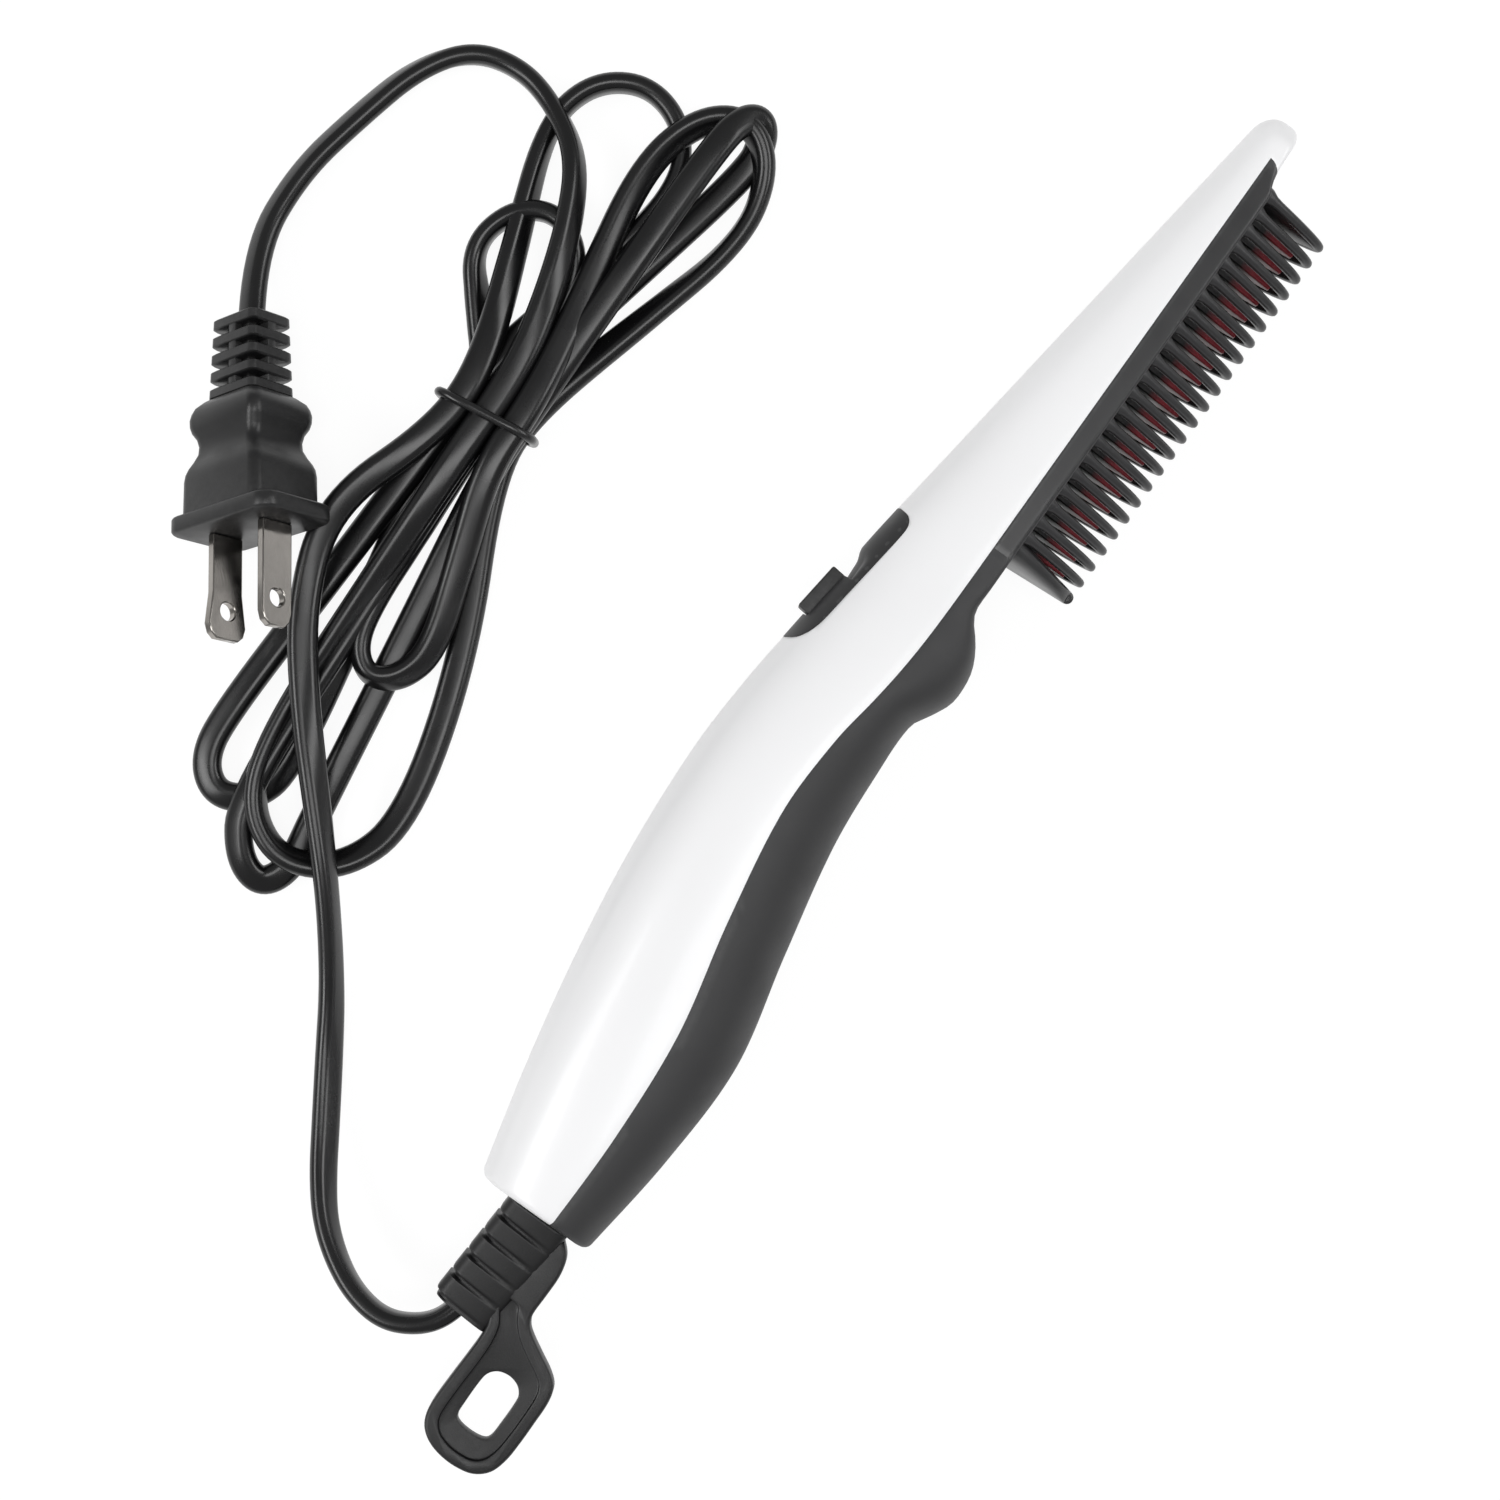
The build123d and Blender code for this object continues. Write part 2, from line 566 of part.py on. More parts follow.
def arch(x, length):
    """One guard tooth seen along the comb: two legs that meet in a rounded tip."""
    root = leg_root_half(x)
    inner_root = root - TOOTH_LEG
    apex = TOOTH_TIP + TOOTH_WEB
    inner_half = TOOTH_TIP_HALF_DEPTH / 2
    bulge = (TOOTH_BULGE_HEIGHT, (root + TOOTH_TIP_HALF_DEPTH) / 2 + TOOTH_BULGE)
    with BuildPart() as tooth:
        with BuildSketch(section_plane(x - length / 2)):
            with BuildLine():
                ThreePointArc((LEG_ROOT, root), bulge, (TOOTH_TIP, TOOTH_TIP_HALF_DEPTH))
                ThreePointArc((LEG_ROOT, -root), (bulge[0], -bulge[1]), (TOOTH_TIP, -TOOTH_TIP_HALF_DEPTH))
                Line((TOOTH_TIP, TOOTH_TIP_HALF_DEPTH), (TOOTH_TIP, -TOOTH_TIP_HALF_DEPTH))
                Polyline((LEG_ROOT, root), (LEG_ROOT, inner_root), (apex, inner_half),
                         (apex, -inner_half), (LEG_ROOT, -inner_root), (LEG_ROOT, -root))
            make_face()
        extrude(amount=length)
    return tooth.part


def tooth_side(rear_root, rear_tip, front_tip, front_root):
    """Side view of a tooth that narrows to a round tip, from the spread of its root and tip."""
    shoulder = TOOTH_TIP + (front_tip - rear_tip) / 2
    with BuildPart() as wedge:
        with BuildSketch(side_plane()):
            with BuildLine():
                Polyline((rear_tip, shoulder), (rear_root, LEG_ROOT), (front_root, LEG_ROOT),
                         (front_tip, shoulder))
                ThreePointArc((front_tip, shoulder), ((rear_tip + front_tip) / 2, TOOTH_TIP),
                              (rear_tip, shoulder))
            make_face()
        extrude(amount=HANDLE_HALF_WIDTH, both=True)
    return wedge.part


def guard_tooth(index):
    """A guard tooth: the end ones are wider, to shield the row."""
    x = TOOTH_SPOTS[index]
    if index == 0:
        spread = (GUARD_START, GUARD_START + SHIELD_STEP, x + REAR_SHIELD[0], x + REAR_SHIELD[1])
    elif index == TOOTH_COUNT - 1:
        spread = (x - TOOTH_ROOT_HALF_WIDTH, x - NOSE_SHIELD[0], x + NOSE_SHIELD[1],
                  x + NOSE_SHIELD[2])
    else:
        spread = (x - TOOTH_ROOT_HALF_WIDTH, x - TOOTH_TIP_HALF_WIDTH,
                  x + TOOTH_TIP_HALF_WIDTH, x + TOOTH_ROOT_HALF_WIDTH)
    length = 2 * max(x - spread[0], spread[3] - x) + 1
    return arch(x, length) & tooth_side(*spread)


def plan_taper(inset, y_low, y_high):
    """A block between two heights whose sides follow the head's taper, drawn in by an inset."""
    rear = head_half_width(HEAD_REAR_X) - inset
    front = head_half_width(HOUSING_LENGTH) - inset
    with BuildPart() as block:
        with BuildSketch(level_plane(y_low)):
            Polygon((HEAD_REAR_X, rear), (HOUSING_LENGTH, front), (HOUSING_LENGTH, -front),
                    (HEAD_REAR_X, -rear), align=None)
        extrude(amount=y_high - y_low)
    return block.part


window_half = leg_root_half(LAST_TOOTH_X) - TOOTH_LEG - WINDOW_ROOM
window_rear = FIN_SPOTS[0] - TOOTH_PITCH / 2
window_front = FIN_SPOTS[-1] + TOOTH_PITCH / 2
with BuildPart() as tooth_guard:
    with BuildSketch(side_plane()):
        with BuildLine():
            corner = (BAND_END - BAND_END_RADIUS, BAND_BOTTOM + BAND_END_RADIUS)
            Polyline((corner[0], BAND_BOTTOM), (GUARD_START, BAND_BOTTOM), (GUARD_START, BAND_TOP),
                     (BAND_END, BAND_TOP), (BAND_END, corner[1]))
            CenterArc(corner, BAND_END_RADIUS, -90, 90)
        make_face()
    extrude(amount=HEAD_REAR_HALF_WIDTH, both=True)
    add(plan_taper(0, BAND_BOTTOM, BAND_TOP), mode=Mode.INTERSECT)
    add(plan_taper(WALL, BAND_BOTTOM + WALL, BAND_TOP) & slab(0, CAVITY_END, -FAR, FAR, FAR),
        mode=Mode.SUBTRACT)
    add(slab(window_rear, window_front, -FAR, FAR, window_half), mode=Mode.SUBTRACT)
    add([guard_tooth(index) for index in range(TOOTH_COUNT)])
tooth_guard.part.label = "tooth_guard"
export_step(tooth_guard.part, "parts/tooth_guard.step")

# ---------------------------------------------------------------- heated comb and its heaters
base_low = BAND_BOTTOM + WALL + SEAT
base_top = base_low + BASE_PLATE
with BuildPart() as heat_comb:
    add(slab(window_rear + FIT, window_front - FIT, base_low, base_top, window_half - FIT))
    add(slab(window_rear - BASE_TAB, window_front + BASE_TAB, base_low, base_top, BASE_TAB_HALF))
    for x in FIN_SPOTS:
        with BuildSketch(section_plane(x - FIN_HALF_WIDTH)):
            with BuildLine():
                Polyline((base_low, FIN_ROOT_HALF_DEPTH), (FIN_END, FIN_TIP_HALF_DEPTH),
                         (FIN_END, -FIN_TIP_HALF_DEPTH), (base_low, -FIN_ROOT_HALF_DEPTH), close=True)
            make_face()
        extrude(amount=2 * FIN_HALF_WIDTH)
    with BuildSketch(level_plane(base_top)):
        with Locations(*[(x, 0) for x in (HEATER_START - FOOT_SCREW, HEATER_FINISH + FOOT_SCREW)]):
            Circle(SMALL_SCREW_RADIUS + SEAT)
    extrude(amount=-SMALL_SCREW_BITE - SEAT, mode=Mode.SUBTRACT)
heat_comb.part.label = "heat_comb"
export_step(heat_comb.part, "parts/heat_comb.step")

lower_film = base_top
lower_electrode_y = lower_film + FILM
heater_y = lower_electrode_y + ELECTRODE
upper_electrode_y = heater_y + HEATER_THICKNESS
upper_film = upper_electrode_y + ELECTRODE
clamp_y = upper_film + FILM
half_heater = HEATER_WIDTH / 2

with BuildPart() as insulation_film:
    for low in (lower_film, upper_film):
        add(slab(HEATER_START - FILM_MARGIN, HEATER_FINISH + FILM_MARGIN, low, low + FILM,
                 half_heater + FILM_MARGIN))
insulation_film.part.label = "insulation_film"
export_step(insulation_film.part, "parts/insulation_film.step")

with BuildPart() as heater_electrodes:
    for low, side in ((lower_electrode_y, 1), (upper_electrode_y, -1)):
        with BuildSketch(level_plane(low)):
            with Locations(((HEATER_START + HEATER_FINISH) / 2, 0)):
                Rectangle(HEATER_FINISH - HEATER_START, HEATER_WIDTH)
            with Locations((HEATER_START + TAB_LENGTH / 2, -side * (half_heater + TAB_WIDTH / 2))):
                Rectangle(TAB_LENGTH, TAB_WIDTH)
        extrude(amount=ELECTRODE)
heater_electrodes.part.label = "heater_electrodes"
export_step(heater_electrodes.part, "parts/heater_electrodes.step")

with BuildPart() as ptc_heaters:
    for index in range(HEATER_COUNT):
        rear = HEATER_START + index * (HEATER_LENGTH + HEATER_GAP)
        add(slab(rear, rear + HEATER_LENGTH, heater_y, heater_y + HEATER_THICKNESS, half_heater))
ptc_heaters.part.label = "ptc_heaters"
export_step(ptc_heaters.part, "parts/ptc_heaters.step")

bridge_top = clamp_y + CLAMP_THICKNESS
with BuildPart() as heater_clamp:
    with BuildSketch(side_plane()):
        with BuildLine():
            rear = HEATER_START - CLAMP_ROOM
            front = HEATER_FINISH + CLAMP_ROOM
            Polyline((rear - FOOT_LENGTH, base_top), (rear, base_top), (rear, clamp_y), (front, clamp_y),
                     (front, base_top), (front + FOOT_LENGTH, base_top),
                     (front + FOOT_LENGTH, base_top + CLAMP_THICKNESS),
                     (front + CLAMP_THICKNESS, base_top + CLAMP_THICKNESS),
                     (front + CLAMP_THICKNESS, bridge_top), (rear - CLAMP_THICKNESS, bridge_top),
                     (rear - CLAMP_THICKNESS, base_top + CLAMP_THICKNESS),
                     (rear - FOOT_LENGTH, base_top + CLAMP_THICKNESS), close=True)
        make_face()
    extrude(amount=half_heater - CLAMP_NARROWER, both=True)
    with BuildSketch(level_plane(base_top)):
        with Locations(*[(x, 0) for x in (HEATER_START - FOOT_SCREW, HEATER_FINISH + FOOT_SCREW)]):
            Circle(SMALL_SCREW_RADIUS + SEAT)
    extrude(amount=2 * CLAMP_THICKNESS, mode=Mode.SUBTRACT)
heater_clamp.part.label = "heater_clamp"
export_step(heater_clamp.part, "parts/heater_clamp.step")

with BuildPart() as heater_screws:
    for x in (HEATER_START - FOOT_SCREW, HEATER_FINISH + FOOT_SCREW):
        foot_top = base_top + CLAMP_THICKNESS
        with BuildSketch(level_plane(foot_top)):
            with Locations((x, 0)):
                Circle(SMALL_HEAD_RADIUS)
        extrude(amount=SMALL_HEAD_HEIGHT)
        with BuildSketch(level_plane(foot_top)):
            with Locations((x, 0)):
                Circle(SMALL_SCREW_RADIUS)
        extrude(amount=-CLAMP_THICKNESS - SMALL_SCREW_BITE)
heater_screws.part.label = "heater_screws"
export_step(heater_screws.part, "parts/heater_screws.step")

with BuildPart() as thermal_fuse:
    with BuildSketch(section_plane(HEATER_START + FUSE_OFFSET)):
        with Locations((bridge_top + FUSE_RADIUS, 0)):
            Circle(FUSE_RADIUS)
    extrude(amount=FUSE_LENGTH)
thermal_fuse.part.label = "thermal_fuse"
export_step(thermal_fuse.part, "parts/thermal_fuse.step")

# ---------------------------------------------------------------- switch
knob_half = KNOB_LENGTH / 2
knob_base = RUNNING_GAP - TRACK_DEPTH
with BuildPart() as knob_track:
    with BuildSketch(switch_plane):
        with BuildLine():
            flat_end = (knob_half + SWITCH_TRAVEL + RUNNING_GAP, -TRACK_DEPTH)
            ramp_end = (flat_end[0] + TRACK_RAMP, RUNNING_GAP)
            Polyline((ramp_end[0], KNOB_PROUD), (-knob_half - RUNNING_GAP, KNOB_PROUD),
                     (-knob_half - RUNNING_GAP, -TRACK_DEPTH), flat_end)
            ThreePointArc(flat_end, (flat_end[0] + RAMP_BEND[0] * TRACK_RAMP, -RAMP_BEND[1] * TRACK_DEPTH),
                          ramp_end)
            Line(ramp_end, (ramp_end[0], KNOB_PROUD))
        make_face()
    extrude(amount=KNOB_WIDTH / 2 + RUNNING_GAP, both=True)

with BuildPart() as switch_plate:
    add(outer_form & plate_outline(PLATE_FIT))
    add(housing_form(PLATE_DEPTH - SEAT), mode=Mode.SUBTRACT)
    add(knob_track.part, mode=Mode.SUBTRACT)
    add(lever_slot, mode=Mode.SUBTRACT)
switch_plate.part.label = "switch_plate"
export_step(switch_plate.part, "parts/switch_plate.step")

with BuildPart() as slider_knob:
    add(switch_block(-knob_half, knob_half, knob_base, KNOB_PROUD, KNOB_WIDTH / 2))
    chamfer(slider_knob.faces().sort_by(Axis.Y)[-1].edges(), KNOB_CHAMFER)
slider_knob.part.label = "slider_knob"
export_step(slider_knob.part, "parts/slider_knob.step")

with BuildPart() as switch_lever:
    add(switch_block(-STEM_LENGTH / 2, STEM_LENGTH / 2, -STEM_DEPTH, knob_base, STEM_WIDTH / 2))
switch_lever.part.label = "switch_lever"
export_step(switch_lever.part, "parts/switch_lever.step")

body_top = -SWITCH_PAD - SEAT
with BuildPart() as switch_body:
    add(switch_block(-SWITCH_BODY_LENGTH / 2, SWITCH_BODY_LENGTH / 2, body_top - SWITCH_BODY_HEIGHT,
                     body_top, SWITCH_PAD_HALF - SWITCH_BODY_INSET))
    add(switch_block(slot_rear, slot_front, -STEM_DEPTH - RUNNING_GAP, 0, STEM_WIDTH / 2 + RUNNING_GAP),
        mode=Mode.SUBTRACT)
switch_body.part.label = "switch_body"
export_step(switch_body.part, "parts/switch_body.step")

# ---------------------------------------------------------------- board, wires, screws and clamp
board_y = BOARD_HEIGHT + SEAT
board_top = board_y + BOARD_THICKNESS
with BuildPart() as control_board:
    add(slab(board_low, board_high, board_y, board_top, BOARD_SIZE[1] / 2))
control_board.part.label = "control_board"
export_step(control_board.part, "parts/control_board.step")

with BuildPart() as board_components:
    with BuildSketch(level_plane(board_top)):
        for (along, across), chip_size in CHIPS:
            with Locations((BOARD_CENTRE + along, across)):
                Rectangle(*chip_size)
    extrude(amount=CHIP_HEIGHT)
    with BuildSketch(level_plane(board_top)):
        with Locations(*[(BOARD_CENTRE + along, across) for along, across in CAPACITORS]):
            Circle(CAPACITOR_RADIUS)
    extrude(amount=CAPACITOR_HEIGHT)
board_components.part.label = "board_components"
export_step(board_components.part, "parts/board_components.step")


def wire(points, radius):
    """A round wire through points of the comb's side view (x, y, height over the middle)."""
    with BuildPart() as strand:
        with BuildLine() as path:
            Polyline(*[place(*point) for point in points])
        with BuildSketch(Plane(origin=path.line @ 0, z_dir=path.line % 0)):
            Circle(radius)
        sweep(transition=Transition.RIGHT)
    return strand.part


wire_y = board_top + WIRE_RADIUS + SEAT
with BuildPart() as mains_wires:
    for side in (1, -1):
        add(wire([(WALL + FLANGE_THICKNESS + SEAT, RELIEF_AXIS, side * CORE_OFFSET),
                  (CLAMP_X + CLAMP_LENGTH, RELIEF_AXIS, side * CORE_OFFSET),
                  (HOUSING_SCREW_STATIONS[0] - BOSS_RADIUS, wire_y / 2, side * WIRE_SPREAD),
                  (board_low - WIRE_BENDS[0], wire_y, side * WIRE_SPREAD),
                  (board_low + WIRE_JOINTS[0], wire_y, side * WIRE_SPREAD)], WIRE_RADIUS))
mains_wires.part.label = "mains_wires"
export_step(mains_wires.part, "parts/mains_wires.step")

with BuildPart() as heater_wires:
    tab_z = half_heater + TAB_WIDTH / 2
    for side, tab_y in ((1, lower_electrode_y), (-1, upper_electrode_y)):
        end_y = tab_y + ELECTRODE + WIRE_RADIUS
        add(wire([(board_high - WIRE_JOINTS[1], wire_y, side * WIRE_SPREAD),
                  (board_high + WIRE_BENDS[1], wire_y, side * WIRE_SPREAD),
                  (board_high + HEATER_WIRE_DIP[0], HEATER_WIRE_DIP[1], side * WIRE_SPREAD),
                  (HEATER_START - HEATER_WIRE_RISE, end_y, side * tab_z),
                  (HEATER_START + TAB_LENGTH, end_y, side * tab_z)], WIRE_RADIUS))
heater_wires.part.label = "heater_wires"
export_step(heater_wires.part, "parts/heater_wires.step")

with BuildPart() as housing_screws:
    for screw_x in HOUSING_SCREW_STATIONS:
        seam_y = station_value(screw_x, "widest")
        seat = seam_y - SCREW_SEAT
        add(boss(screw_x, seat - SCREW_HEAD_HEIGHT, seat, SCREW_HEAD_RADIUS))
        add(boss(screw_x, seat, seam_y + SCREW_BITE, SCREW_RADIUS))
housing_screws.part.label = "housing_screws"
export_step(housing_screws.part, "parts/housing_screws.step")

clamp_low = RELIEF_AXIS + WIRE_RADIUS
clamp_high = clamp_low + CLAMP_BAR
with BuildPart() as cord_clamp:
    add(slab(CLAMP_X - CLAMP_LENGTH / 2, CLAMP_X + CLAMP_LENGTH / 2, clamp_low, clamp_high, CLAMP_HALF))
    for side in (1, -1):
        with BuildSketch(level_plane(clamp_low)):
            with Locations((CLAMP_X, side * CLAMP_SCREW)):
                Rectangle(CLAMP_LENGTH, 2 * (CLAMP_HALF - CLAMP_SCREW))
        extrude(amount=-2 * WIRE_RADIUS + SEAT)
    with BuildSketch(level_plane(clamp_high)):
        with Locations((CLAMP_X, CLAMP_SCREW), (CLAMP_X, -CLAMP_SCREW)):
            Circle(SCREW_RADIUS + SCREW_CLEARANCE)
    extrude(amount=-FAR / 4, mode=Mode.SUBTRACT)
cord_clamp.part.label = "cord_clamp"
export_step(cord_clamp.part, "parts/cord_clamp.step")

with BuildPart() as clamp_screws:
    with BuildSketch(level_plane(clamp_high)):
        with Locations((CLAMP_X, CLAMP_SCREW), (CLAMP_X, -CLAMP_SCREW)):
            Circle(SCREW_HEAD_RADIUS)
    extrude(amount=SCREW_HEAD_HEIGHT)
    with BuildSketch(level_plane(clamp_high)):
        with Locations((CLAMP_X, CLAMP_SCREW), (CLAMP_X, -CLAMP_SCREW)):
            Circle(SCREW_RADIUS)
    extrude(amount=RELIEF_AXIS - SCREW_BITE - clamp_high)
clamp_screws.part.label = "clamp_screws"
export_step(clamp_screws.part, "parts/clamp_screws.step")

# ---------------------------------------------------------------- strain relief with its hanging loop
relief_direction = Vector(-1, 0, 0).rotate(Axis.Z, -RELIEF_TILT)
relief_tilted = Plane(origin=place(0, RELIEF_AXIS), x_dir=Vector(0, 1, 0).rotate(Axis.Z, -RELIEF_TILT),
                      z_dir=relief_direction)
relief_exit = relief_tilted.origin + relief_direction * RELIEF_LENGTH


def relief_form(inset):
    """The tapering relief outside the butt, drawn in by an inset."""
    with BuildPart() as form:
        with BuildSketch(relief_tilted.offset(-WALL / 2)):
            RectangleRounded(RELIEF_ROOT[0] - 2 * inset, RELIEF_ROOT[1] - 2 * inset, RELIEF_CORNER)
        with BuildSketch(relief_tilted.offset(RELIEF_LENGTH)):
            RectangleRounded(RELIEF_END[0] - 2 * inset, RELIEF_END[1] - 2 * inset, RELIEF_CORNER)
        loft(ruled=True)
    return form.part


loop_side = [
    (LOOP_FAR_CORNER, -3.4),
    (-18.0, -3.6),
    (-14.0, 1.0),
    (-1.0, 1.0),
    (-1.0, -5.6),
    (-5.4, -8.8),
    (-16.4, -8.8),
    (-23.2, LOOP_LOW),
    (LOOP_FAR_CORNER, LOOP_LOW),
]
slot_middle = (LOOP_LOW + loop_side[0][1]) / 2


def loop_sheet(height, inset):
    """The loop's outline in the side view at a height over the middle, drawn in by an inset."""
    with BuildSketch(side_plane(height)) as sheet:
        with BuildLine():
            Polyline(*loop_side)
            ThreePointArc(loop_side[-1], (LOOP_END, slot_middle), loop_side[0])
        make_face()
        fillet(sheet.vertices(), LOOP_CORNER)
        offset(amount=-inset)
    return sheet.sketch


with BuildPart() as loop_plate:
    add(loop_sheet(-LOOP_THICKNESS / 2, 0))
    extrude(amount=LOOP_THICKNESS)
    for height in (-LOOP_THICKNESS / 2, LOOP_PANEL / 2):
        add(loop_sheet(height, LOOP_RIM))
        extrude(amount=(LOOP_THICKNESS - LOOP_PANEL) / 2, mode=Mode.SUBTRACT)
    with BuildSketch(side_plane(-LOOP_THICKNESS)):
        with BuildLine():
            slot_high = slot_middle + SLOT_WIDTH / 2
            slot_low = slot_middle - SLOT_WIDTH / 2
            Line((SLOT_FAR + SLOT_BULGE, slot_high), (SLOT_NEAR - SLOT_BULGE, slot_high))
            ThreePointArc((SLOT_NEAR - SLOT_BULGE, slot_high), (SLOT_NEAR, slot_middle),
                          (SLOT_NEAR - SLOT_BULGE, slot_low))
            Line((SLOT_NEAR - SLOT_BULGE, slot_low), (SLOT_FAR + SLOT_BULGE, slot_low))
            ThreePointArc((SLOT_FAR + SLOT_BULGE, slot_low), (SLOT_FAR, slot_middle),
                          (SLOT_FAR + SLOT_BULGE, slot_high))
        make_face()
    extrude(amount=2 * LOOP_THICKNESS, mode=Mode.SUBTRACT)

with BuildPart() as strain_relief:
    behind_butt = slab(-FAR, -SEAT, -FAR, FAR, FAR)
    add(relief_form(RELIEF_GROOVE) & behind_butt)
    rib_pitch = RELIEF_LENGTH / RELIEF_RIBS
    ribbed = relief_form(0) & behind_butt
    for index in range(RELIEF_RIBS):
        rib_end = -index * rib_pitch
        add(ribbed & slab(rib_end - RIB_SHARE * rib_pitch, rib_end, -FAR, FAR, FAR))
    add(loop_plate.part)
    with BuildSketch(relief_plane.offset(-WALL - FLANGE_THICKNESS)):
        RectangleRounded(*FLANGE, FLANGE_CORNER)
    extrude(amount=FLANGE_THICKNESS - SEAT)
    with BuildSketch(relief_plane.offset(-WALL - SEAT)):
        RectangleRounded(*NECK, FLANGE_CORNER)
    extrude(amount=WALL + 3 * SEAT)
strain_relief.part.label = "strain_relief"
export_step(strain_relief.part, "parts/strain_relief.step")

# ---------------------------------------------------------------- cord
raise_angle = math.radians(PLUG_RAISE)
heading = math.radians(PLUG_HEADING)
roll = math.radians(PLUG_ROLL)
plug_axis = Vector(math.cos(heading) * math.cos(raise_angle),
                   math.sin(heading) * math.cos(raise_angle), math.sin(raise_angle))
level_side = Vector(math.sin(heading), -math.cos(heading), 0)
upright = plug_axis.cross(level_side)
upright = upright if upright.Z > 0 else upright * -1
blade_side = level_side * math.cos(roll) - upright * math.sin(roll)
plug_plane = Plane(origin=PLUG_START, x_dir=blade_side, z_dir=plug_axis)


def cord_tube(points):
    """A round tube through the points, with the widest arcs that its straight runs allow."""
    corners = [Vector(point) for point in points]
    radii = []
    for before, corner, after in zip(corners, corners[1:], corners[2:]):
        turn = math.radians((corner - before).get_angle(after - corner))
        shorter = min((corner - before).length, (after - corner).length)
        radii.append(BEND_SHARE * shorter / math.tan(turn / 2))
    with BuildPart() as tube:
        with BuildLine() as path:
            FilletPolyline(*corners, radius=radii)
        with BuildSketch(Plane(origin=path.line @ 0, z_dir=path.line % 0)):
            Circle(CORD_RADIUS)
        sweep()
    expected = math.pi * CORD_RADIUS ** 2 * path.wires()[0].length
    print("bend radii", [round(radius, 1) for radius in radii])
    print("volume over section x length", round(tube.part.volume / expected, 4))
    return tube.part


lead_start = relief_exit + relief_direction * SEAT
lead_corner = relief_exit + relief_direction * EXIT_RUN
with BuildPart() as cord_lead:
    add(cord_tube([lead_start, lead_corner] + LEAD_ROUTE))
cord_lead.part.label = "cord_lead"
export_step(cord_lead.part, "parts/cord_lead.step")

tail_corner = plug_plane.origin - plug_axis * PLUG_RUN
tail_end = plug_plane.origin - plug_axis * SEAT
with BuildPart() as cord_tail:
    add(cord_tube(TAIL_ROUTE + [tail_corner, tail_end]))
cord_tail.part.label = "cord_tail"
export_step(cord_tail.part, "parts/cord_tail.step")


def square_edge(point, towards, half):
    """The two ends of an outline edge that faces a cord run squarely at its end."""
    run = (Vector(towards) - Vector(point)).normalized()
    across = Vector(-run.Y, run.X) * half
    return [(point[0] + across.X, point[1] + across.Y), (point[0] - across.X, point[1] - across.Y)]


lead_edge = square_edge(LEAD_ROUTE[-1], LEAD_ROUTE[-2], CORD_RADIUS + HANK_END_MARGIN)
tail_edge = square_edge(TAIL_ROUTE[0], TAIL_ROUTE[1], CORD_RADIUS + HANK_END_MARGIN)
left_fan = [
    (TIE_X - FAN_START, 93.4),
    (-14.0, 98.2),
    (-54.0, 94.6),
    (-68.4, 88.0),
    (-75.8, 76.0),
    *lead_edge[::-1],
    (-47.0, 55.8),
    (-14.0, 66.0),
    (TIE_X - FAN_START, 76.4),
]
right_fan = [
    (TIE_X + FAN_START, 76.4),
    (40.0, 71.6),
    (64.0, 65.8),
    (82.6, 70.6),
    (80.0, 92.0),
    (78.4, 102.6),
    *tail_edge[::-1],
    (53.0, 100.6),
    (44.4, 106.4),
    (TIE_X + FAN_START, 95.6),
]
with BuildPart() as cord_hank:
    for outline in (left_fan, right_fan):
        with BuildSketch(Plane.XY.offset(HANK_FLOOR)) as fan_face:
            Polygon(*outline, align=None)
        extrude(amount=FAN_HEIGHT)
    with BuildSketch(Plane(origin=(TIE_X - WAIST_REACH, TIE_Y, waist_height), x_dir=(0, 1, 0),
                           z_dir=(1, 0, 0))):
        Ellipse(BUNDLE_WIDTH / 2, BUNDLE_HEIGHT / 2)
    extrude(amount=2 * WAIST_REACH)
cord_hank.part.label = "cord_hank"
export_step(cord_hank.part, "parts/cord_hank.step")

with BuildPart() as cord_tie:
    with BuildSketch(Plane(origin=(TIE_X - TIE_WIDTH / 2, TIE_Y, waist_height), x_dir=(0, 1, 0),
                           z_dir=(1, 0, 0))):
        Ellipse(BUNDLE_WIDTH / 2 + TIE_THICKNESS, BUNDLE_HEIGHT / 2 + TIE_THICKNESS)
        Ellipse(BUNDLE_WIDTH / 2 + SEAT, BUNDLE_HEIGHT / 2 + SEAT, mode=Mode.SUBTRACT)
    extrude(amount=TIE_WIDTH)
cord_tie.part.label = "cord_tie"
export_step(cord_tie.part, "parts/cord_tie.step")

# ---------------------------------------------------------------- plug
flange_start = PLUG_RELIEF + PLUG_BODY - PLUG_FLANGE_THICKNESS / 2


def plug_loft(rows):
    """A solid through rounded sections at distances along the plug."""
    with BuildPart() as form:
        for distance, width, depth, corner in rows:
            with BuildSketch(plug_plane.offset(distance)):
                RectangleRounded(width, depth, corner)
        loft(ruled=True)
    return form.part


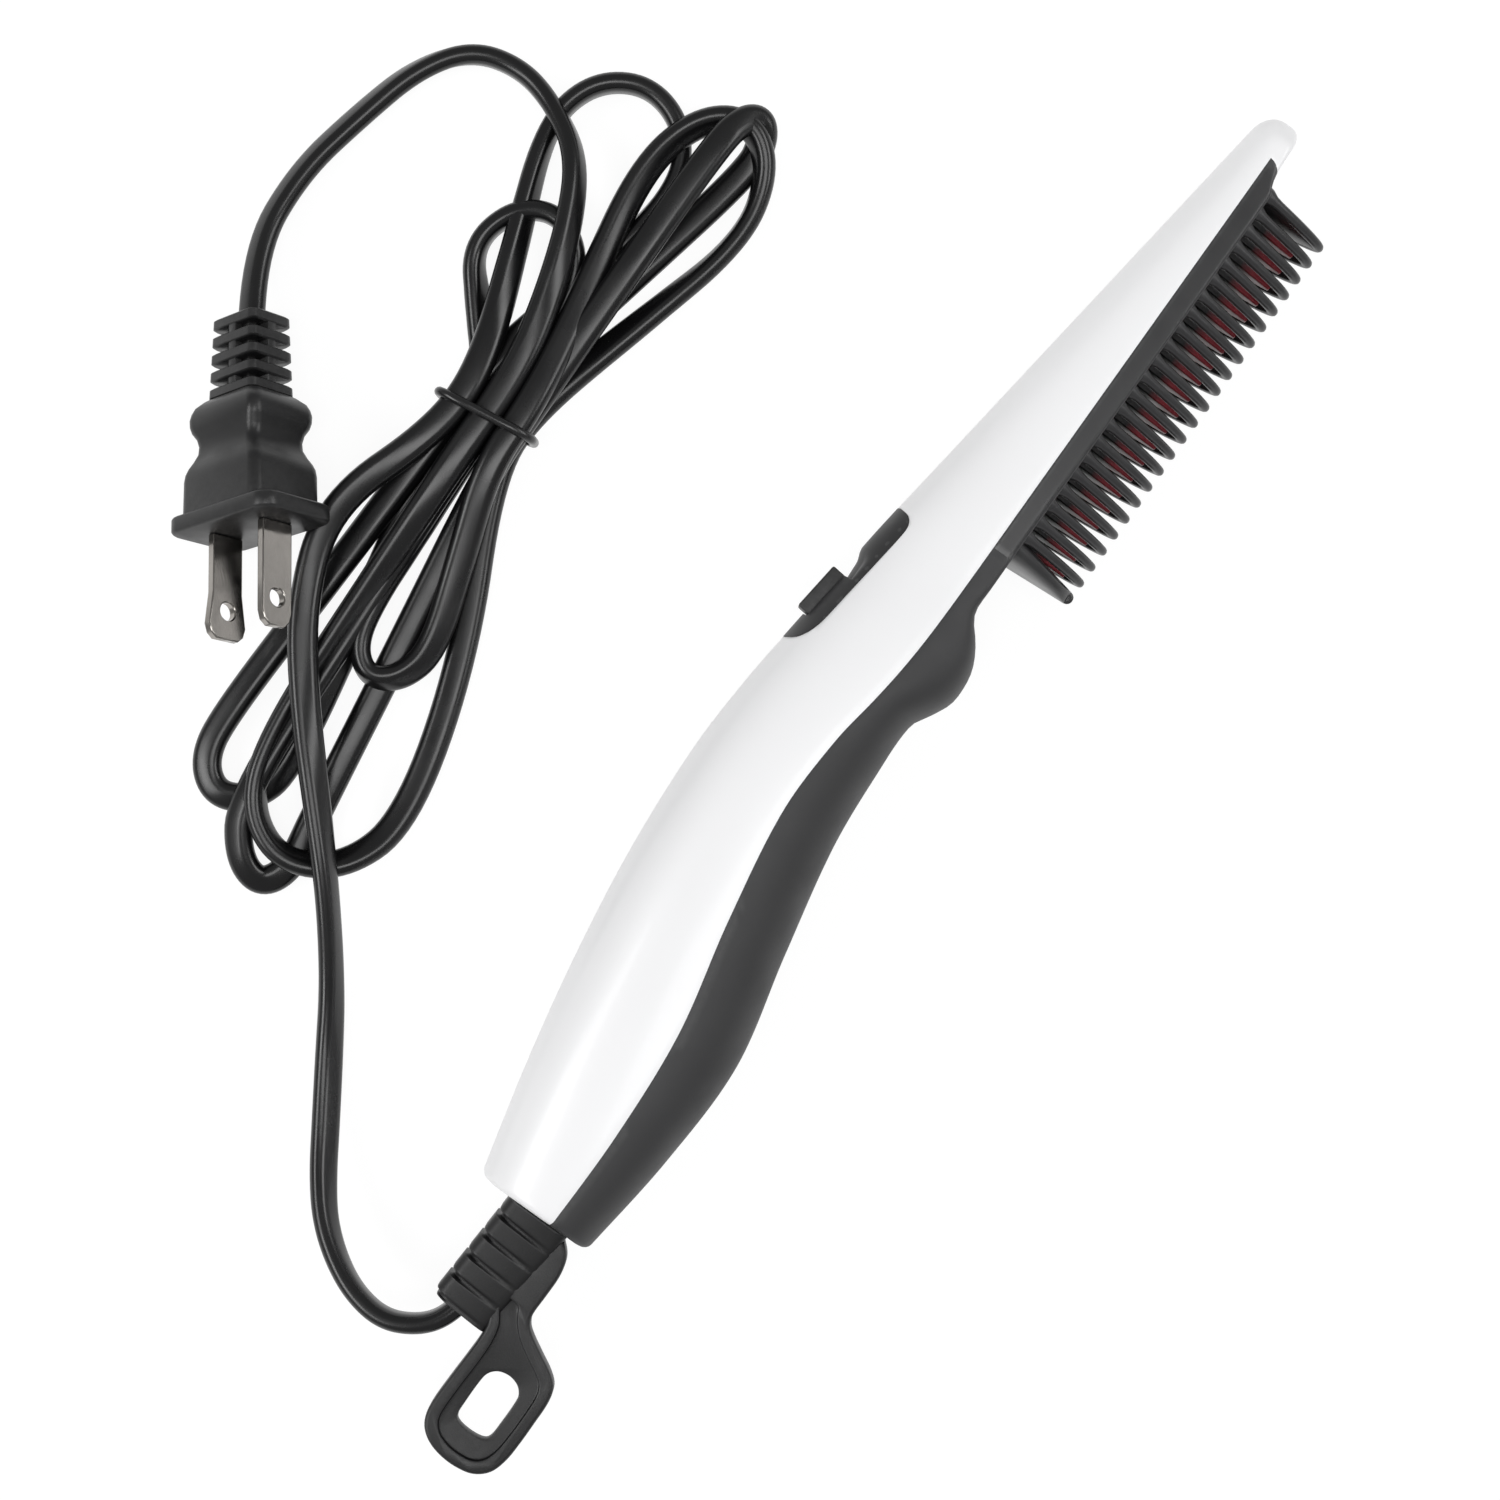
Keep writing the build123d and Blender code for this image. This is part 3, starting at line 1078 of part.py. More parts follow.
with BuildPart() as plug_body:
    add(plug_loft([(0, 8.0, 7.0, 2.2), (PLUG_RELIEF + 0.4, 11.0, 9.2, 2.4)]))
    for index in range(PLUG_GROOVES):
        with BuildSketch(plug_plane.offset(PLUG_GROOVE_START + index * PLUG_GROOVE_PITCH)):
            Rectangle(PLUG_CUT, PLUG_CUT)
            RectangleRounded(*PLUG_CORE, PLUG_CORE_CORNER, mode=Mode.SUBTRACT)
        extrude(amount=PLUG_GROOVE_LENGTH, mode=Mode.SUBTRACT)
    add(plug_loft([(PLUG_RELIEF, 13.0, 10.4, 3.6), (PLUG_RELIEF + 2.2, 17.0, 13.5, 4.0),
                   (PLUG_RELIEF + 9.0, 14.0, 11.0, 4.0), (PLUG_RELIEF + 14.8, 17.0, 13.6, 4.2),
                   (flange_start, 19.0, 14.2, 4.4)]))
    with BuildSketch(plug_plane.offset(flange_start)):
        RectangleRounded(*PLUG_FLANGE, PLUG_FLANGE_CORNER)
    extrude(amount=PLUG_FLANGE_THICKNESS)
plug_body.part.label = "plug_body"
export_step(plug_body.part, "parts/plug_body.step")


def plug_blade(side, tip_width):
    """A flat blade on one side of the plug's face, with a hole near its tip."""
    half = BLADE_WIDTH / 2
    flare = tip_width / 2
    flare_start = BLADE_LENGTH * BLADE_STRAIGHT_SHARE
    point_start = BLADE_LENGTH - BLADE_POINT
    point_half = flare - BLADE_POINT_INSET
    face_start = flange_start + PLUG_FLANGE_THICKNESS
    base = plug_plane.offset(face_start)
    blade_plane = Plane(origin=base.origin + base.x_dir * side * BLADE_SPACING / 2,
                        x_dir=plug_axis, z_dir=base.x_dir)
    with BuildPart() as blade:
        with BuildSketch(blade_plane):
            Polygon((0, half), (flare_start, half), (point_start, flare), (BLADE_LENGTH, point_half),
                    (BLADE_LENGTH, -point_half), (point_start, -flare), (flare_start, -half),
                    (0, -half), align=None)
            with Locations((BLADE_LENGTH - BLADE_HOLE_FROM_TIP, 0)):
                Circle(BLADE_HOLE_RADIUS, mode=Mode.SUBTRACT)
        extrude(amount=BLADE_THICKNESS / 2, both=True)
    return blade.part


with BuildPart() as wide_blade:
    add(plug_blade(1, WIDE_BLADE_TIP))
wide_blade.part.label = "wide_blade"
export_step(wide_blade.part, "parts/wide_blade.step")

with BuildPart() as narrow_blade:
    add(plug_blade(-1, BLADE_WIDTH))
narrow_blade.part.label = "narrow_blade"
export_step(narrow_blade.part, "parts/narrow_blade.step")
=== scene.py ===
"""Finished looks of an electric hot comb, its flat cord and its plug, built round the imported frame.

Sizes in the classes are millimetres in the comb's own side view: x from the butt to the nose, y from
the teeth to the spine, z over the comb's middle plane. CombFrame turns them into metres in the row
frame. The cord and the plug are given straight in the row frame, also in millimetres.
"""

import logging
import math
from dataclasses import dataclass, field
from enum import Enum
from typing import Callable, ClassVar, Sequence

import bmesh
import bpy
from bmesh.types import BMEdge, BMVert, BMesh
from bpy.types import Curve, ID, Material, Mesh, Node, NodeSocket, NodeTree, Object, Spline
from mathutils import Matrix, Vector


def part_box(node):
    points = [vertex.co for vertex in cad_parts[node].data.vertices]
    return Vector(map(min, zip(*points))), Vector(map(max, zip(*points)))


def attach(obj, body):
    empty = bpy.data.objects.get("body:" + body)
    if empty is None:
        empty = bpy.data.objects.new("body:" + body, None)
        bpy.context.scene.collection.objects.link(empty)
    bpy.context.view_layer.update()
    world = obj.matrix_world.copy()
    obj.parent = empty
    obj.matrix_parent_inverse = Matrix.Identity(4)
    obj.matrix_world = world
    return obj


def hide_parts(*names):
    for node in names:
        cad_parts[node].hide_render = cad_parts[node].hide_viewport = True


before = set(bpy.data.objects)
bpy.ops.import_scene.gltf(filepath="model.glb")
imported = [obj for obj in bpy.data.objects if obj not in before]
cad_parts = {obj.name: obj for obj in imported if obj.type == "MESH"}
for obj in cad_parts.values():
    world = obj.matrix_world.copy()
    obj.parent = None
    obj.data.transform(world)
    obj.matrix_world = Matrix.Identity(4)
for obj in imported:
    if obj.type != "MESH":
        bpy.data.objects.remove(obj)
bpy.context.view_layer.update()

MM = 0.001
LEAST_FLAT = 0.05  # half the least flat that stays between two round corners, mm
SAME_PLACE = 0.002  # vertices nearer to each other than this become one, mm
SAME_HEIGHT = 0.01  # the ends of a level edge differ by less than this, mm
RIM_ANGLE = 60.0  # edges sharper than this are softened, degrees
SPINE_TURN = 0.25  # the section's turn at the spine
SEAM_TURN = 0.5  # the section's turn at the seam on the -Z side
HALVINGS = 30  # steps of a search by halves
log = logging.getLogger("hot_comb")

Pair = tuple[float, float]
Triple = tuple[float, float, float]
Quad = tuple[float, float, float, float]
Colour = Quad
WHITE: Colour = (1.0, 1.0, 1.0, 1.0)


class Body(str, Enum):
    """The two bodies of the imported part."""

    HOUSING = "housing"
    SLIDER = "slider"


class Side(int, Enum):
    """The side of the tie on which a loop of the hank lies: towards the nose or the butt."""

    NOSE = 1
    BUTT = -1


# ---------------------------------------------------------------- finishes
def linear(red: int, green: int, blue: int) -> Colour:
    """Turns a display colour into the linear colour that a shader takes, by the sRGB curve.

    Args:
        red, green, blue: the display values, 0 to 255.

    Returns:
        The linear colour with an alpha of 1.
    """
    def channel(value: int) -> float:
        """One display value made linear."""
        share = value / 255
        return share / 12.92 if share <= 0.04045 else ((share + 0.055) / 1.055) ** 2.4

    return channel(red), channel(green), channel(blue), 1.0


class NodeGraph:
    """A node tree with short calls for adding and joining nodes."""

    def __init__(self, tree: NodeTree) -> None:
        """Keeps the tree that nodes are added to."""
        self.tree = tree

    def add(self, kind: str, inputs: dict | None = None, **settings: object) -> Node:
        """Adds a node.

        Args:
            kind: Blender's name of the node type.
            inputs: values or sockets for its inputs, by name or number.
            settings: attributes of the node itself.

        Returns:
            The new node.
        """
        node = self.tree.nodes.new(kind)
        for name, value in settings.items():
            setattr(node, name, value)
        for key, value in (inputs or {}).items():
            if isinstance(value, NodeSocket):
                self.tree.links.new(value, node.inputs[key])
            else:
                node.inputs[key].default_value = value
        return node

    def noise(self, scale: object, detail: float, vector: object = None) -> NodeSocket:
        """Adds noise on the object's own coordinates, and returns its factor."""
        if vector is None:
            vector = self.add("ShaderNodeTexCoord").outputs["Object"]
        noise = self.add("ShaderNodeTexNoise", {"Vector": vector, "Scale": scale, "Detail": detail})
        return noise.outputs[0]

    def maths(self, operation: str, first: object, second: object) -> NodeSocket:
        """Adds a sum of two values or sockets, such as MULTIPLY, and returns its result."""
        return self.add("ShaderNodeMath", {0: first, 1: second}, operation=operation).outputs[0]

    def colour_mix(self, share: object, first: object, second: object) -> NodeSocket:
        """Adds a mix of two colours, the second one at a share of 1, and returns it."""
        return self.add("ShaderNodeMix", {0: share, 6: first, 7: second}, data_type="RGBA").outputs[2]

    def group(self, tree: NodeTree, **inputs: float) -> Node:
        """Adds a node group with its values; an underscore in a name stands for a space."""
        return self.add("ShaderNodeGroup", {key.replace("_", " "): value for key, value in inputs.items()},
                        node_tree=tree)


def empty_graph(owner: ID) -> NodeGraph:
    """Turns on the nodes of a material or a world, empties them and returns their graph."""
    owner.use_nodes = True
    owner.node_tree.nodes.clear()
    return NodeGraph(owner.node_tree)


def texture_scale(size: float, closer: float = 1.0) -> float:
    """The scale per metre of a texture whose forms have this size in mm, or lie this much closer."""
    return 1000 * closer / size


class Effects:
    """The surface effects that several finishes share, each a node group that is built once.

    Attributes:
        GRAIN_HEIGHT, LINE_HEIGHT: heights of the grain and of the drawn lines, mm.
        PATCH_SPAN: the span of the noise that the slow patches are spread from.
        PROUD_SPAN: the pointiness at which an edge starts to be rubbed, and is rubbed fully.
        WEAR_SCALE: scale of the noise that breaks up the wear, per metre.
    """

    GRAIN_HEIGHT: ClassVar[float] = 0.1
    LINE_HEIGHT: ClassVar[float] = 0.05
    PATCH_SPAN: ClassVar[Pair] = (0.3, 0.7)
    PROUD_SPAN: ClassVar[Pair] = (0.52, 0.62)
    WEAR_SCALE: ClassVar[float] = 900.0
    DETAIL: ClassVar[dict[str, float]] = {"grain": 4.0, "mottle": 5.0, "drawn": 3.0, "wear": 4.0}

    def __init__(self) -> None:
        """Builds every group."""
        self.grain = self._grain()
        self.mottle = self._mottle()
        self.drawn = self._drawn()
        self.wear = self._wear()

    @staticmethod
    def _new(name: str, inputs: dict[str, float],
             outputs: dict[str, str]) -> tuple[NodeTree, NodeGraph]:
        """Makes an empty group.

        Args:
            name: its name.
            inputs: its float inputs with their usual values.
            outputs: its outputs with their socket types.

        Returns:
            The group and its graph.
        """
        tree = bpy.data.node_groups.new(name, "ShaderNodeTree")
        for label, value in inputs.items():
            socket = tree.interface.new_socket(name=label, in_out="INPUT", socket_type="NodeSocketFloat")
            socket.default_value = value
        for label, kind in outputs.items():
            tree.interface.new_socket(name=label, in_out="OUTPUT", socket_type=kind)
        return tree, NodeGraph(tree)

    def _grain(self) -> NodeTree:
        """Moulded grain: a fine bump that a textured tool leaves."""
        tree, graph = self._new("moulded_grain", {"Scale": 2500.0, "Depth": 0.15},
                                {"Normal": "NodeSocketVector", "Mask": "NodeSocketFloat"})
        given = graph.add("NodeGroupInput")
        grains = graph.noise(given.outputs["Scale"], self.DETAIL["grain"])
        bump = graph.add("ShaderNodeBump", {"Strength": given.outputs["Depth"],
                                            "Distance": self.GRAIN_HEIGHT * MM, "Height": grains})
        graph.add("NodeGroupOutput", {"Normal": bump.outputs[0], "Mask": grains})
        return tree

    def _mottle(self) -> NodeTree:
        """A soft, slow change between two values, as handling and cooling leave on plastic."""
        tree, graph = self._new("soft_mottle", {"Scale": 60.0, "Low": 0.3, "High": 0.4},
                                {"Value": "NodeSocketFloat"})
        given = graph.add("NodeGroupInput")
        patches = graph.noise(given.outputs["Scale"], self.DETAIL["mottle"])
        lowest, highest = self.PATCH_SPAN
        spread = graph.add("ShaderNodeMapRange", {"Value": patches, "From Min": lowest, "From Max": highest,
                                                  "To Min": given.outputs["Low"],
                                                  "To Max": given.outputs["High"]})
        graph.add("NodeGroupOutput", {"Value": spread.outputs[0]})
        return tree

    def _drawn(self) -> NodeTree:
        """Fine lines along one direction, as drawing or brushing leaves."""
        tree, graph = self._new("drawn_lines", {"Along X": 60.0, "Along Y": 3000.0, "Along Z": 3000.0,
                                                "Depth": 0.1},
                                {"Normal": "NodeSocketVector", "Mask": "NodeSocketFloat"})
        given = graph.add("NodeGroupInput")
        stretch = graph.add("ShaderNodeCombineXYZ", {axis: given.outputs[f"Along {axis}"] for axis in "XYZ"})
        place = graph.add("ShaderNodeTexCoord").outputs["Object"]
        stretched = graph.add("ShaderNodeVectorMath", {0: place, 1: stretch.outputs[0]},
                              operation="MULTIPLY")
        lines = graph.noise(1.0, self.DETAIL["drawn"], stretched.outputs[0])
        bump = graph.add("ShaderNodeBump", {"Strength": given.outputs["Depth"],
                                            "Distance": self.LINE_HEIGHT * MM, "Height": lines})
        graph.add("NodeGroupOutput", {"Normal": bump.outputs[0], "Mask": lines})
        return tree

    def _wear(self) -> NodeTree:
        """Where edges stand proud and get rubbed, broken up by noise."""
        tree, graph = self._new("edge_wear", {"Amount": 0.3}, {"Mask": "NodeSocketFloat"})
        given = graph.add("NodeGroupInput")
        starts, full = self.PROUD_SPAN
        edges = graph.add("ShaderNodeMapRange",
                          {"Value": graph.add("ShaderNodeNewGeometry").outputs["Pointiness"],
                           "From Min": starts, "From Max": full})
        noise = graph.noise(self.WEAR_SCALE, self.DETAIL["wear"])
        broken = graph.maths("MULTIPLY", edges.outputs[0], noise)
        graph.add("NodeGroupOutput", {"Mask": graph.maths("MULTIPLY", broken, given.outputs["Amount"])})
        return tree


@dataclass(frozen=True)
class Finish:
    """A moulded or coated finish.

    Attributes:
        name: the material's name, which is also the record's material slot.
        colour: display colour, 0 to 255.
        roughness: its middle roughness.
        spread: how far the roughness changes over the surface.
        shade: how far the colour changes, as a share of itself.
        grain: size of the moulded grain, mm.
        depth: strength of the grain's bump.
        coat: weight of a clear gloss over it.
        wear: how much the edges are rubbed lighter.
        patch: size of the slow patches, mm.
        RUBBED: how far a rubbed edge goes towards white.
        CLOSER: how much closer the patches of roughness lie than those of colour.
        COAT_ROUGHNESS: roughness of the clear gloss.
    """

    RUBBED: ClassVar[float] = 0.5
    CLOSER: ClassVar[float] = 1.7
    COAT_ROUGHNESS: ClassVar[float] = 0.08

    name: str
    colour: tuple[int, int, int]
    roughness: float
    spread: float = 0.06
    shade: float = 0.06
    grain: float = 0.35
    depth: float = 0.12
    coat: float = 0.0
    wear: float = 0.15
    patch: float = 14.0

    def _colour(self, graph: NodeGraph, effects: Effects) -> NodeSocket:
        """The base colour: slow patches, then rubbed edges."""
        base = linear(*self.colour)
        darker = tuple(value * (1 - self.shade) for value in base[:3]) + (1.0,)
        lighter = tuple(min(1.0, value * (1 + self.shade)) for value in base[:3]) + (1.0,)
        patches = graph.group(effects.mottle, Scale=texture_scale(self.patch), Low=0.0, High=1.0)
        mixed = graph.colour_mix(patches.outputs[0], darker, lighter)
        rubbed = tuple(min(1.0, value + self.RUBBED * (1 - value)) for value in base[:3]) + (1.0,)
        wear = graph.group(effects.wear, Amount=self.wear)
        return graph.colour_mix(wear.outputs[0], mixed, rubbed)

    def _normal(self, graph: NodeGraph, effects: Effects) -> NodeSocket:
        """The surface's fine relief."""
        grain = graph.group(effects.grain, Scale=texture_scale(self.grain), Depth=self.depth)
        return grain.outputs["Normal"]

    def _plain_values(self, shader: Node) -> None:
        """Sets what is the same all over the surface."""
        shader.inputs["Coat Weight"].default_value = self.coat
        shader.inputs["Coat Roughness"].default_value = self.COAT_ROUGHNESS

    def build(self, effects: Effects) -> Material:
        """Makes the material.

        Args:
            effects: the shared node groups.

        Returns:
            The finished material.
        """
        material = bpy.data.materials.new(self.name)
        graph = empty_graph(material)
        rough = graph.group(effects.mottle, Scale=texture_scale(self.patch, self.CLOSER),
                            Low=self.roughness - self.spread, High=self.roughness + self.spread)
        shader = graph.add("ShaderNodeBsdfPrincipled",
                           {"Base Color": self._colour(graph, effects), "Roughness": rough.outputs[0],
                            "Normal": self._normal(graph, effects)})
        self._plain_values(shader)
        graph.add("ShaderNodeOutputMaterial", {"Surface": shader.outputs[0]})
        return material


@dataclass(frozen=True)
class DrawnFinish(Finish):
    """A finish with fine lines along one direction: extruded cable or rolled and brushed metal.

    Attributes:
        stretch: how close the lines lie along x, y and z, per metre.
        metallic: 1 for bare metal.
    """

    stretch: Triple = (60.0, 3000.0, 3000.0)
    metallic: float = 0.0

    def _normal(self, graph: NodeGraph, effects: Effects) -> NodeSocket:
        """Drawn lines in place of grain."""
        x, y, z = self.stretch
        lines = graph.group(effects.drawn, Along_X=x, Along_Y=y, Along_Z=z, Depth=self.depth)
        return lines.outputs["Normal"]

    def _plain_values(self, shader: Node) -> None:
        """Adds the metal to the plain values."""
        Finish._plain_values(self, shader)
        shader.inputs["Metallic"].default_value = self.metallic


@dataclass(frozen=True)
class SpeckledFinish(Finish):
    """A sprayed ceramic coating with fine lighter specks, and if given, a painted shade above a given
    height.

    Attributes:
        speck: display colour of the specks.
        speck_size: their spacing, mm.
        painted_shade_span: the two row y values, mm, between which the coating fades into a painted
            near-black shade of the guard's shadow.
        DOT_EDGE: the share of their spacing at which a speck starts, and at which it is full.
        DOT_STRENGTH: how far a speck covers the plain colour.
        PAINTED_SHADE_COLOUR: display colour of that painted shade.
    """

    DOT_EDGE: ClassVar[Pair] = (0.22, 0.12)
    DOT_STRENGTH: ClassVar[float] = 0.5
    # Painted shade: a near-black colour that stands in for the shadow between the guard's legs.
    PAINTED_SHADE_COLOUR: ClassVar[tuple[int, int, int]] = (12, 11, 12)

    speck: tuple[int, int, int] = (200, 90, 95)
    speck_size: float = 0.5
    # Painted shade: the heights over which the fins darken to near black, for the guard's shadow.
    painted_shade_span: Pair | None = None

    def _colour(self, graph: NodeGraph, effects: Effects) -> NodeSocket:
        """Specks laid over the plain colour, then a painted shade above a given height."""
        plain = Finish._colour(self, graph, effects)
        place = graph.add("ShaderNodeTexCoord").outputs["Object"]
        cells = graph.add("ShaderNodeTexVoronoi", {"Vector": place, "Scale": texture_scale(self.speck_size)})
        starts, full = self.DOT_EDGE
        dots = graph.add("ShaderNodeMapRange", {"Value": cells.outputs["Distance"], "From Min": starts,
                                                "From Max": full, "To Max": self.DOT_STRENGTH})
        speckled = graph.colour_mix(dots.outputs[0], plain, linear(*self.speck))
        if self.painted_shade_span is None:
            return speckled
        # Painted shade: the coating darkens upwards to near black where the guard's legs shade the fins'
        # upper part.
        height = graph.add("ShaderNodeSeparateXYZ", {0: place}).outputs["Y"]
        fade = graph.add("ShaderNodeMapRange", {"Value": height, "From Min": self.painted_shade_span[0] * MM,
                                                "From Max": self.painted_shade_span[1] * MM})
        return graph.colour_mix(fade.outputs[0], speckled, linear(*self.PAINTED_SHADE_COLOUR))


OUTSIDE_FINISHES = [
    Finish("shell_white", (241, 241, 242), 0.34, 0.03, 0.012, 1.6, 0.02, coat=0.15, wear=0.0, patch=40),
    Finish("grip_black", (48, 48, 49), 0.58, 0.05, 0.08, 0.30, 0.10, wear=0.06),
    Finish("guard_black", (42, 42, 43), 0.32, 0.05, 0.08, 0.30, 0.08, wear=0.08, patch=9),
    # comb_red: the fins' upper part gets a painted shade between row y -8.2 and -5.6 mm.
    SpeckledFinish("comb_red", (128, 20, 34), 0.42, 0.06, 0.12, 0.25, 0.20, wear=0.1, patch=5,
                   painted_shade_span=(-8.2, -5.6)),
    Finish("plate_black", (42, 42, 43), 0.50, 0.05, 0.08, 0.30, 0.08, wear=0.10, patch=8),
    Finish("knob_black", (23, 23, 24), 0.52, 0.05, 0.08, 0.25, 0.16, wear=0.12, patch=5),
    Finish("relief_rubber", (18, 18, 19), 0.46, 0.06, 0.10, 0.28, 0.22, wear=0.10, patch=8),
    DrawnFinish("cord_pvc", (15, 15, 16), 0.27, 0.06, 0.10, wear=0.05, patch=20, depth=0.06,
                stretch=(900.0, 900.0, 900.0)),
    Finish("tie_pvc", (16, 16, 17), 0.25, 0.06, 0.10, 0.30, 0.15, wear=0.10, patch=6),
    Finish("plug_pvc", (16, 16, 17), 0.38, 0.06, 0.10, 0.32, 0.16, wear=0.10, patch=9),
    DrawnFinish("blade_nickel", (160, 156, 151), 0.16, 0.06, 0.05, wear=0.0, patch=6, depth=0.08,
                stretch=(400.0, 400.0, 5000.0), metallic=1.0),
]
INSIDE_FINISHES = [
    SpeckledFinish("heater_ceramic", (196, 192, 184), 0.60, speck=(150, 146, 140), depth=0.25),
    DrawnFinish("electrode_aluminium", (205, 207, 210), 0.32, depth=0.1, metallic=1.0),
    Finish("film_amber", (176, 104, 24), 0.22, 0.05, 0.10, 0.8, 0.05, coat=0.4),
    DrawnFinish("clamp_steel", (188, 190, 192), 0.34, depth=0.12, metallic=1.0),
    DrawnFinish("screw_steel", (176, 178, 182), 0.30, depth=0.15, metallic=1.0),
    Finish("fuse_ceramic", (222, 218, 208), 0.45, 0.06, 0.05, 0.5, 0.1),
    Finish("switch_black", (28, 28, 30), 0.45, 0.06, 0.08, 0.3, 0.15),
    SpeckledFinish("board_green", (22, 92, 52), 0.35, speck=(58, 130, 84), speck_size=1.2, coat=0.3),
    Finish("component_black", (30, 30, 32), 0.40, 0.06, 0.10, 0.25, 0.15),
    DrawnFinish("wire_sleeve", (150, 40, 36), 0.45, depth=0.08, patch=6),
]
INSIDE_NODES = {
    "insulation_film": "film_amber",
    "heater_electrodes": "electrode_aluminium",
    "ptc_heaters": "heater_ceramic",
    "heater_clamp": "clamp_steel",
    "heater_screws": "screw_steel",
    "thermal_fuse": "fuse_ceramic",
    "switch_lever": "switch_black",
    "switch_body": "switch_black",
    "control_board": "board_green",
    "board_components": "component_black",
    "mains_wires": "wire_sleeve",
    "heater_wires": "wire_sleeve",
    "housing_screws": "screw_steel",
    "cord_clamp": "component_black",
    "clamp_screws": "screw_steel",
}


class Palette:
    """Every finish as a material, by the record's slot name."""

    def __init__(self) -> None:
        """Builds the shared effects and all the materials."""
        effects = Effects()
        finishes = OUTSIDE_FINISHES + INSIDE_FINISHES
        self.materials = {finish.name: finish.build(effects) for finish in finishes}

    def __getitem__(self, name: str) -> Material:
        """The material of a slot."""
        return self.materials[name]

    def dress_inside(self) -> None:
        """Gives the pieces inside the housing their finishes."""
        for node, name in INSIDE_NODES.items():
            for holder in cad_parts[node].material_slots:
                holder.material = self[name]


# ---------------------------------------------------------------- shaping tools
@dataclass(frozen=True)
class CombFrame:
    """The comb's own side view placed in the row frame.

    Attributes:
        butt: row x of the butt face, metres.
        band: row y of the line just under the head's band, metres.
        middle: row z of the comb's middle plane, metres.
    """

    butt: float
    band: float
    middle: float

    @classmethod
    def from_boxes(cls, band_top: float) -> "CombFrame":
        """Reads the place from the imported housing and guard.

        Args:
            band_top: height of the guard's top edge in the side view, mm.

        Returns:
            The comb's frame.
        """
        shell_low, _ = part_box("spine_shell")
        guard_low, guard_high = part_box("tooth_guard")
        return cls(shell_low.x, guard_high.y - band_top * MM, (guard_low.z + guard_high.z) / 2)

    def place(self, x: float, y: float, z: float = 0.0) -> Vector:
        """A point of the side view, mm, as a point of the row frame, metres."""
        return Vector((self.butt + x * MM, self.band + y * MM, self.middle + z * MM))

    def settle(self, bm: BMesh) -> None:
        """Moves a whole mesh from the side view, mm, to the row frame, metres."""
        for vert in bm.verts:
            vert.co = self.place(*vert.co)


def superellipse(width: float, depth: float, power: float, count: int) -> list[Pair]:
    """A rounded section: power 2 is an ellipse, higher is boxier.

    Args:
        width, depth: its full sizes.
        power: how full its corners are.
        count: number of points.

    Returns:
        The points round it.
    """
    points = []
    for index in range(count):
        angle = 2 * math.pi * (index + 0.5) / count
        c, s = math.cos(angle), math.sin(angle)
        points.append((math.copysign(abs(c) ** (2 / power), c) * width / 2,
                       math.copysign(abs(s) ** (2 / power), s) * depth / 2))
    return points


def rounded_rectangle(width: float, depth: float, radius: float, per_corner: int) -> list[Pair]:
    """A rectangle with round corners.

    Args:
        width, depth: its full sizes.
        radius: of its corners.
        per_corner: number of points on each.

    Returns:
        The points round it.
    """
    radius = min(radius, width / 2 - LEAST_FLAT, depth / 2 - LEAST_FLAT)
    points = []
    for corner, (side_x, side_y) in enumerate(((1, 1), (-1, 1), (-1, -1), (1, -1))):
        for step in range(per_corner):
            angle = math.pi / 2 * (corner + step / (per_corner - 1))
            points.append((side_x * (width / 2 - radius) + radius * math.cos(angle),
                           side_y * (depth / 2 - radius) + radius * math.sin(angle)))
    return points


def edges_of(verts: Sequence[BMVert]) -> list[BMEdge]:
    """All the edges that end at some vertices."""
    return list({edge for vert in verts for edge in vert.link_edges})


def ring(bm: BMesh, points: Sequence[Vector]) -> list[BMEdge]:
    """Adds a closed ring whose vertices lie on the points, and returns its edges."""
    verts = bmesh.ops.create_circle(bm, cap_ends=False, segments=len(points), radius=MM)["verts"]
    for vert, point in zip(verts, points):
        vert.co = point
    return edges_of(verts)


def skin(bm: BMesh, rings: Sequence[Sequence[Vector]]) -> None:
    """Covers a row of rings with faces and closes both ends.

    Args:
        bm: the mesh in the making.
        rings: the rings' points, all of one count.
    """
    loops = [ring(bm, points) for points in rings]
    for before, after in zip(loops, loops[1:]):
        bmesh.ops.bridge_loops(bm, edges=before + after)
    for loop in (loops[0], loops[-1]):
        bmesh.ops.contextual_create(bm, geom=loop)


def thicken(bm: BMesh, offset: Sequence[float]) -> None:
    """Makes a solid of all the faces so far, from where they lie to where the offset takes them."""
    made = bmesh.ops.extrude_face_region(bm, geom=bm.faces[:])
    moved = [item for item in made["geom"] if isinstance(item, BMVert)]
    bmesh.ops.translate(bm, vec=offset, verts=moved)


def box(bm: BMesh, size: Sequence[float], middle: Sequence[float]) -> list[BMVert]:
    """Adds a box with a size about a middle, and returns its vertices."""
    verts = bmesh.ops.create_cube(bm, size=1.0)["verts"]
    bmesh.ops.scale(bm, vec=size, verts=verts)
    bmesh.ops.translate(bm, vec=middle, verts=verts)
    return verts


def round_edges(bm: BMesh, edges: list[BMEdge], radius: float, segments: int = 2,
                clamp: bool = False) -> None:
    """Rounds edges with some faces across each, clamped where it would run into its neighbours."""
    bmesh.ops.bevel(bm, geom=edges, offset=radius, segments=segments, profile=0.5, affect="EDGES",
                    material=-1, clamp_overlap=clamp)


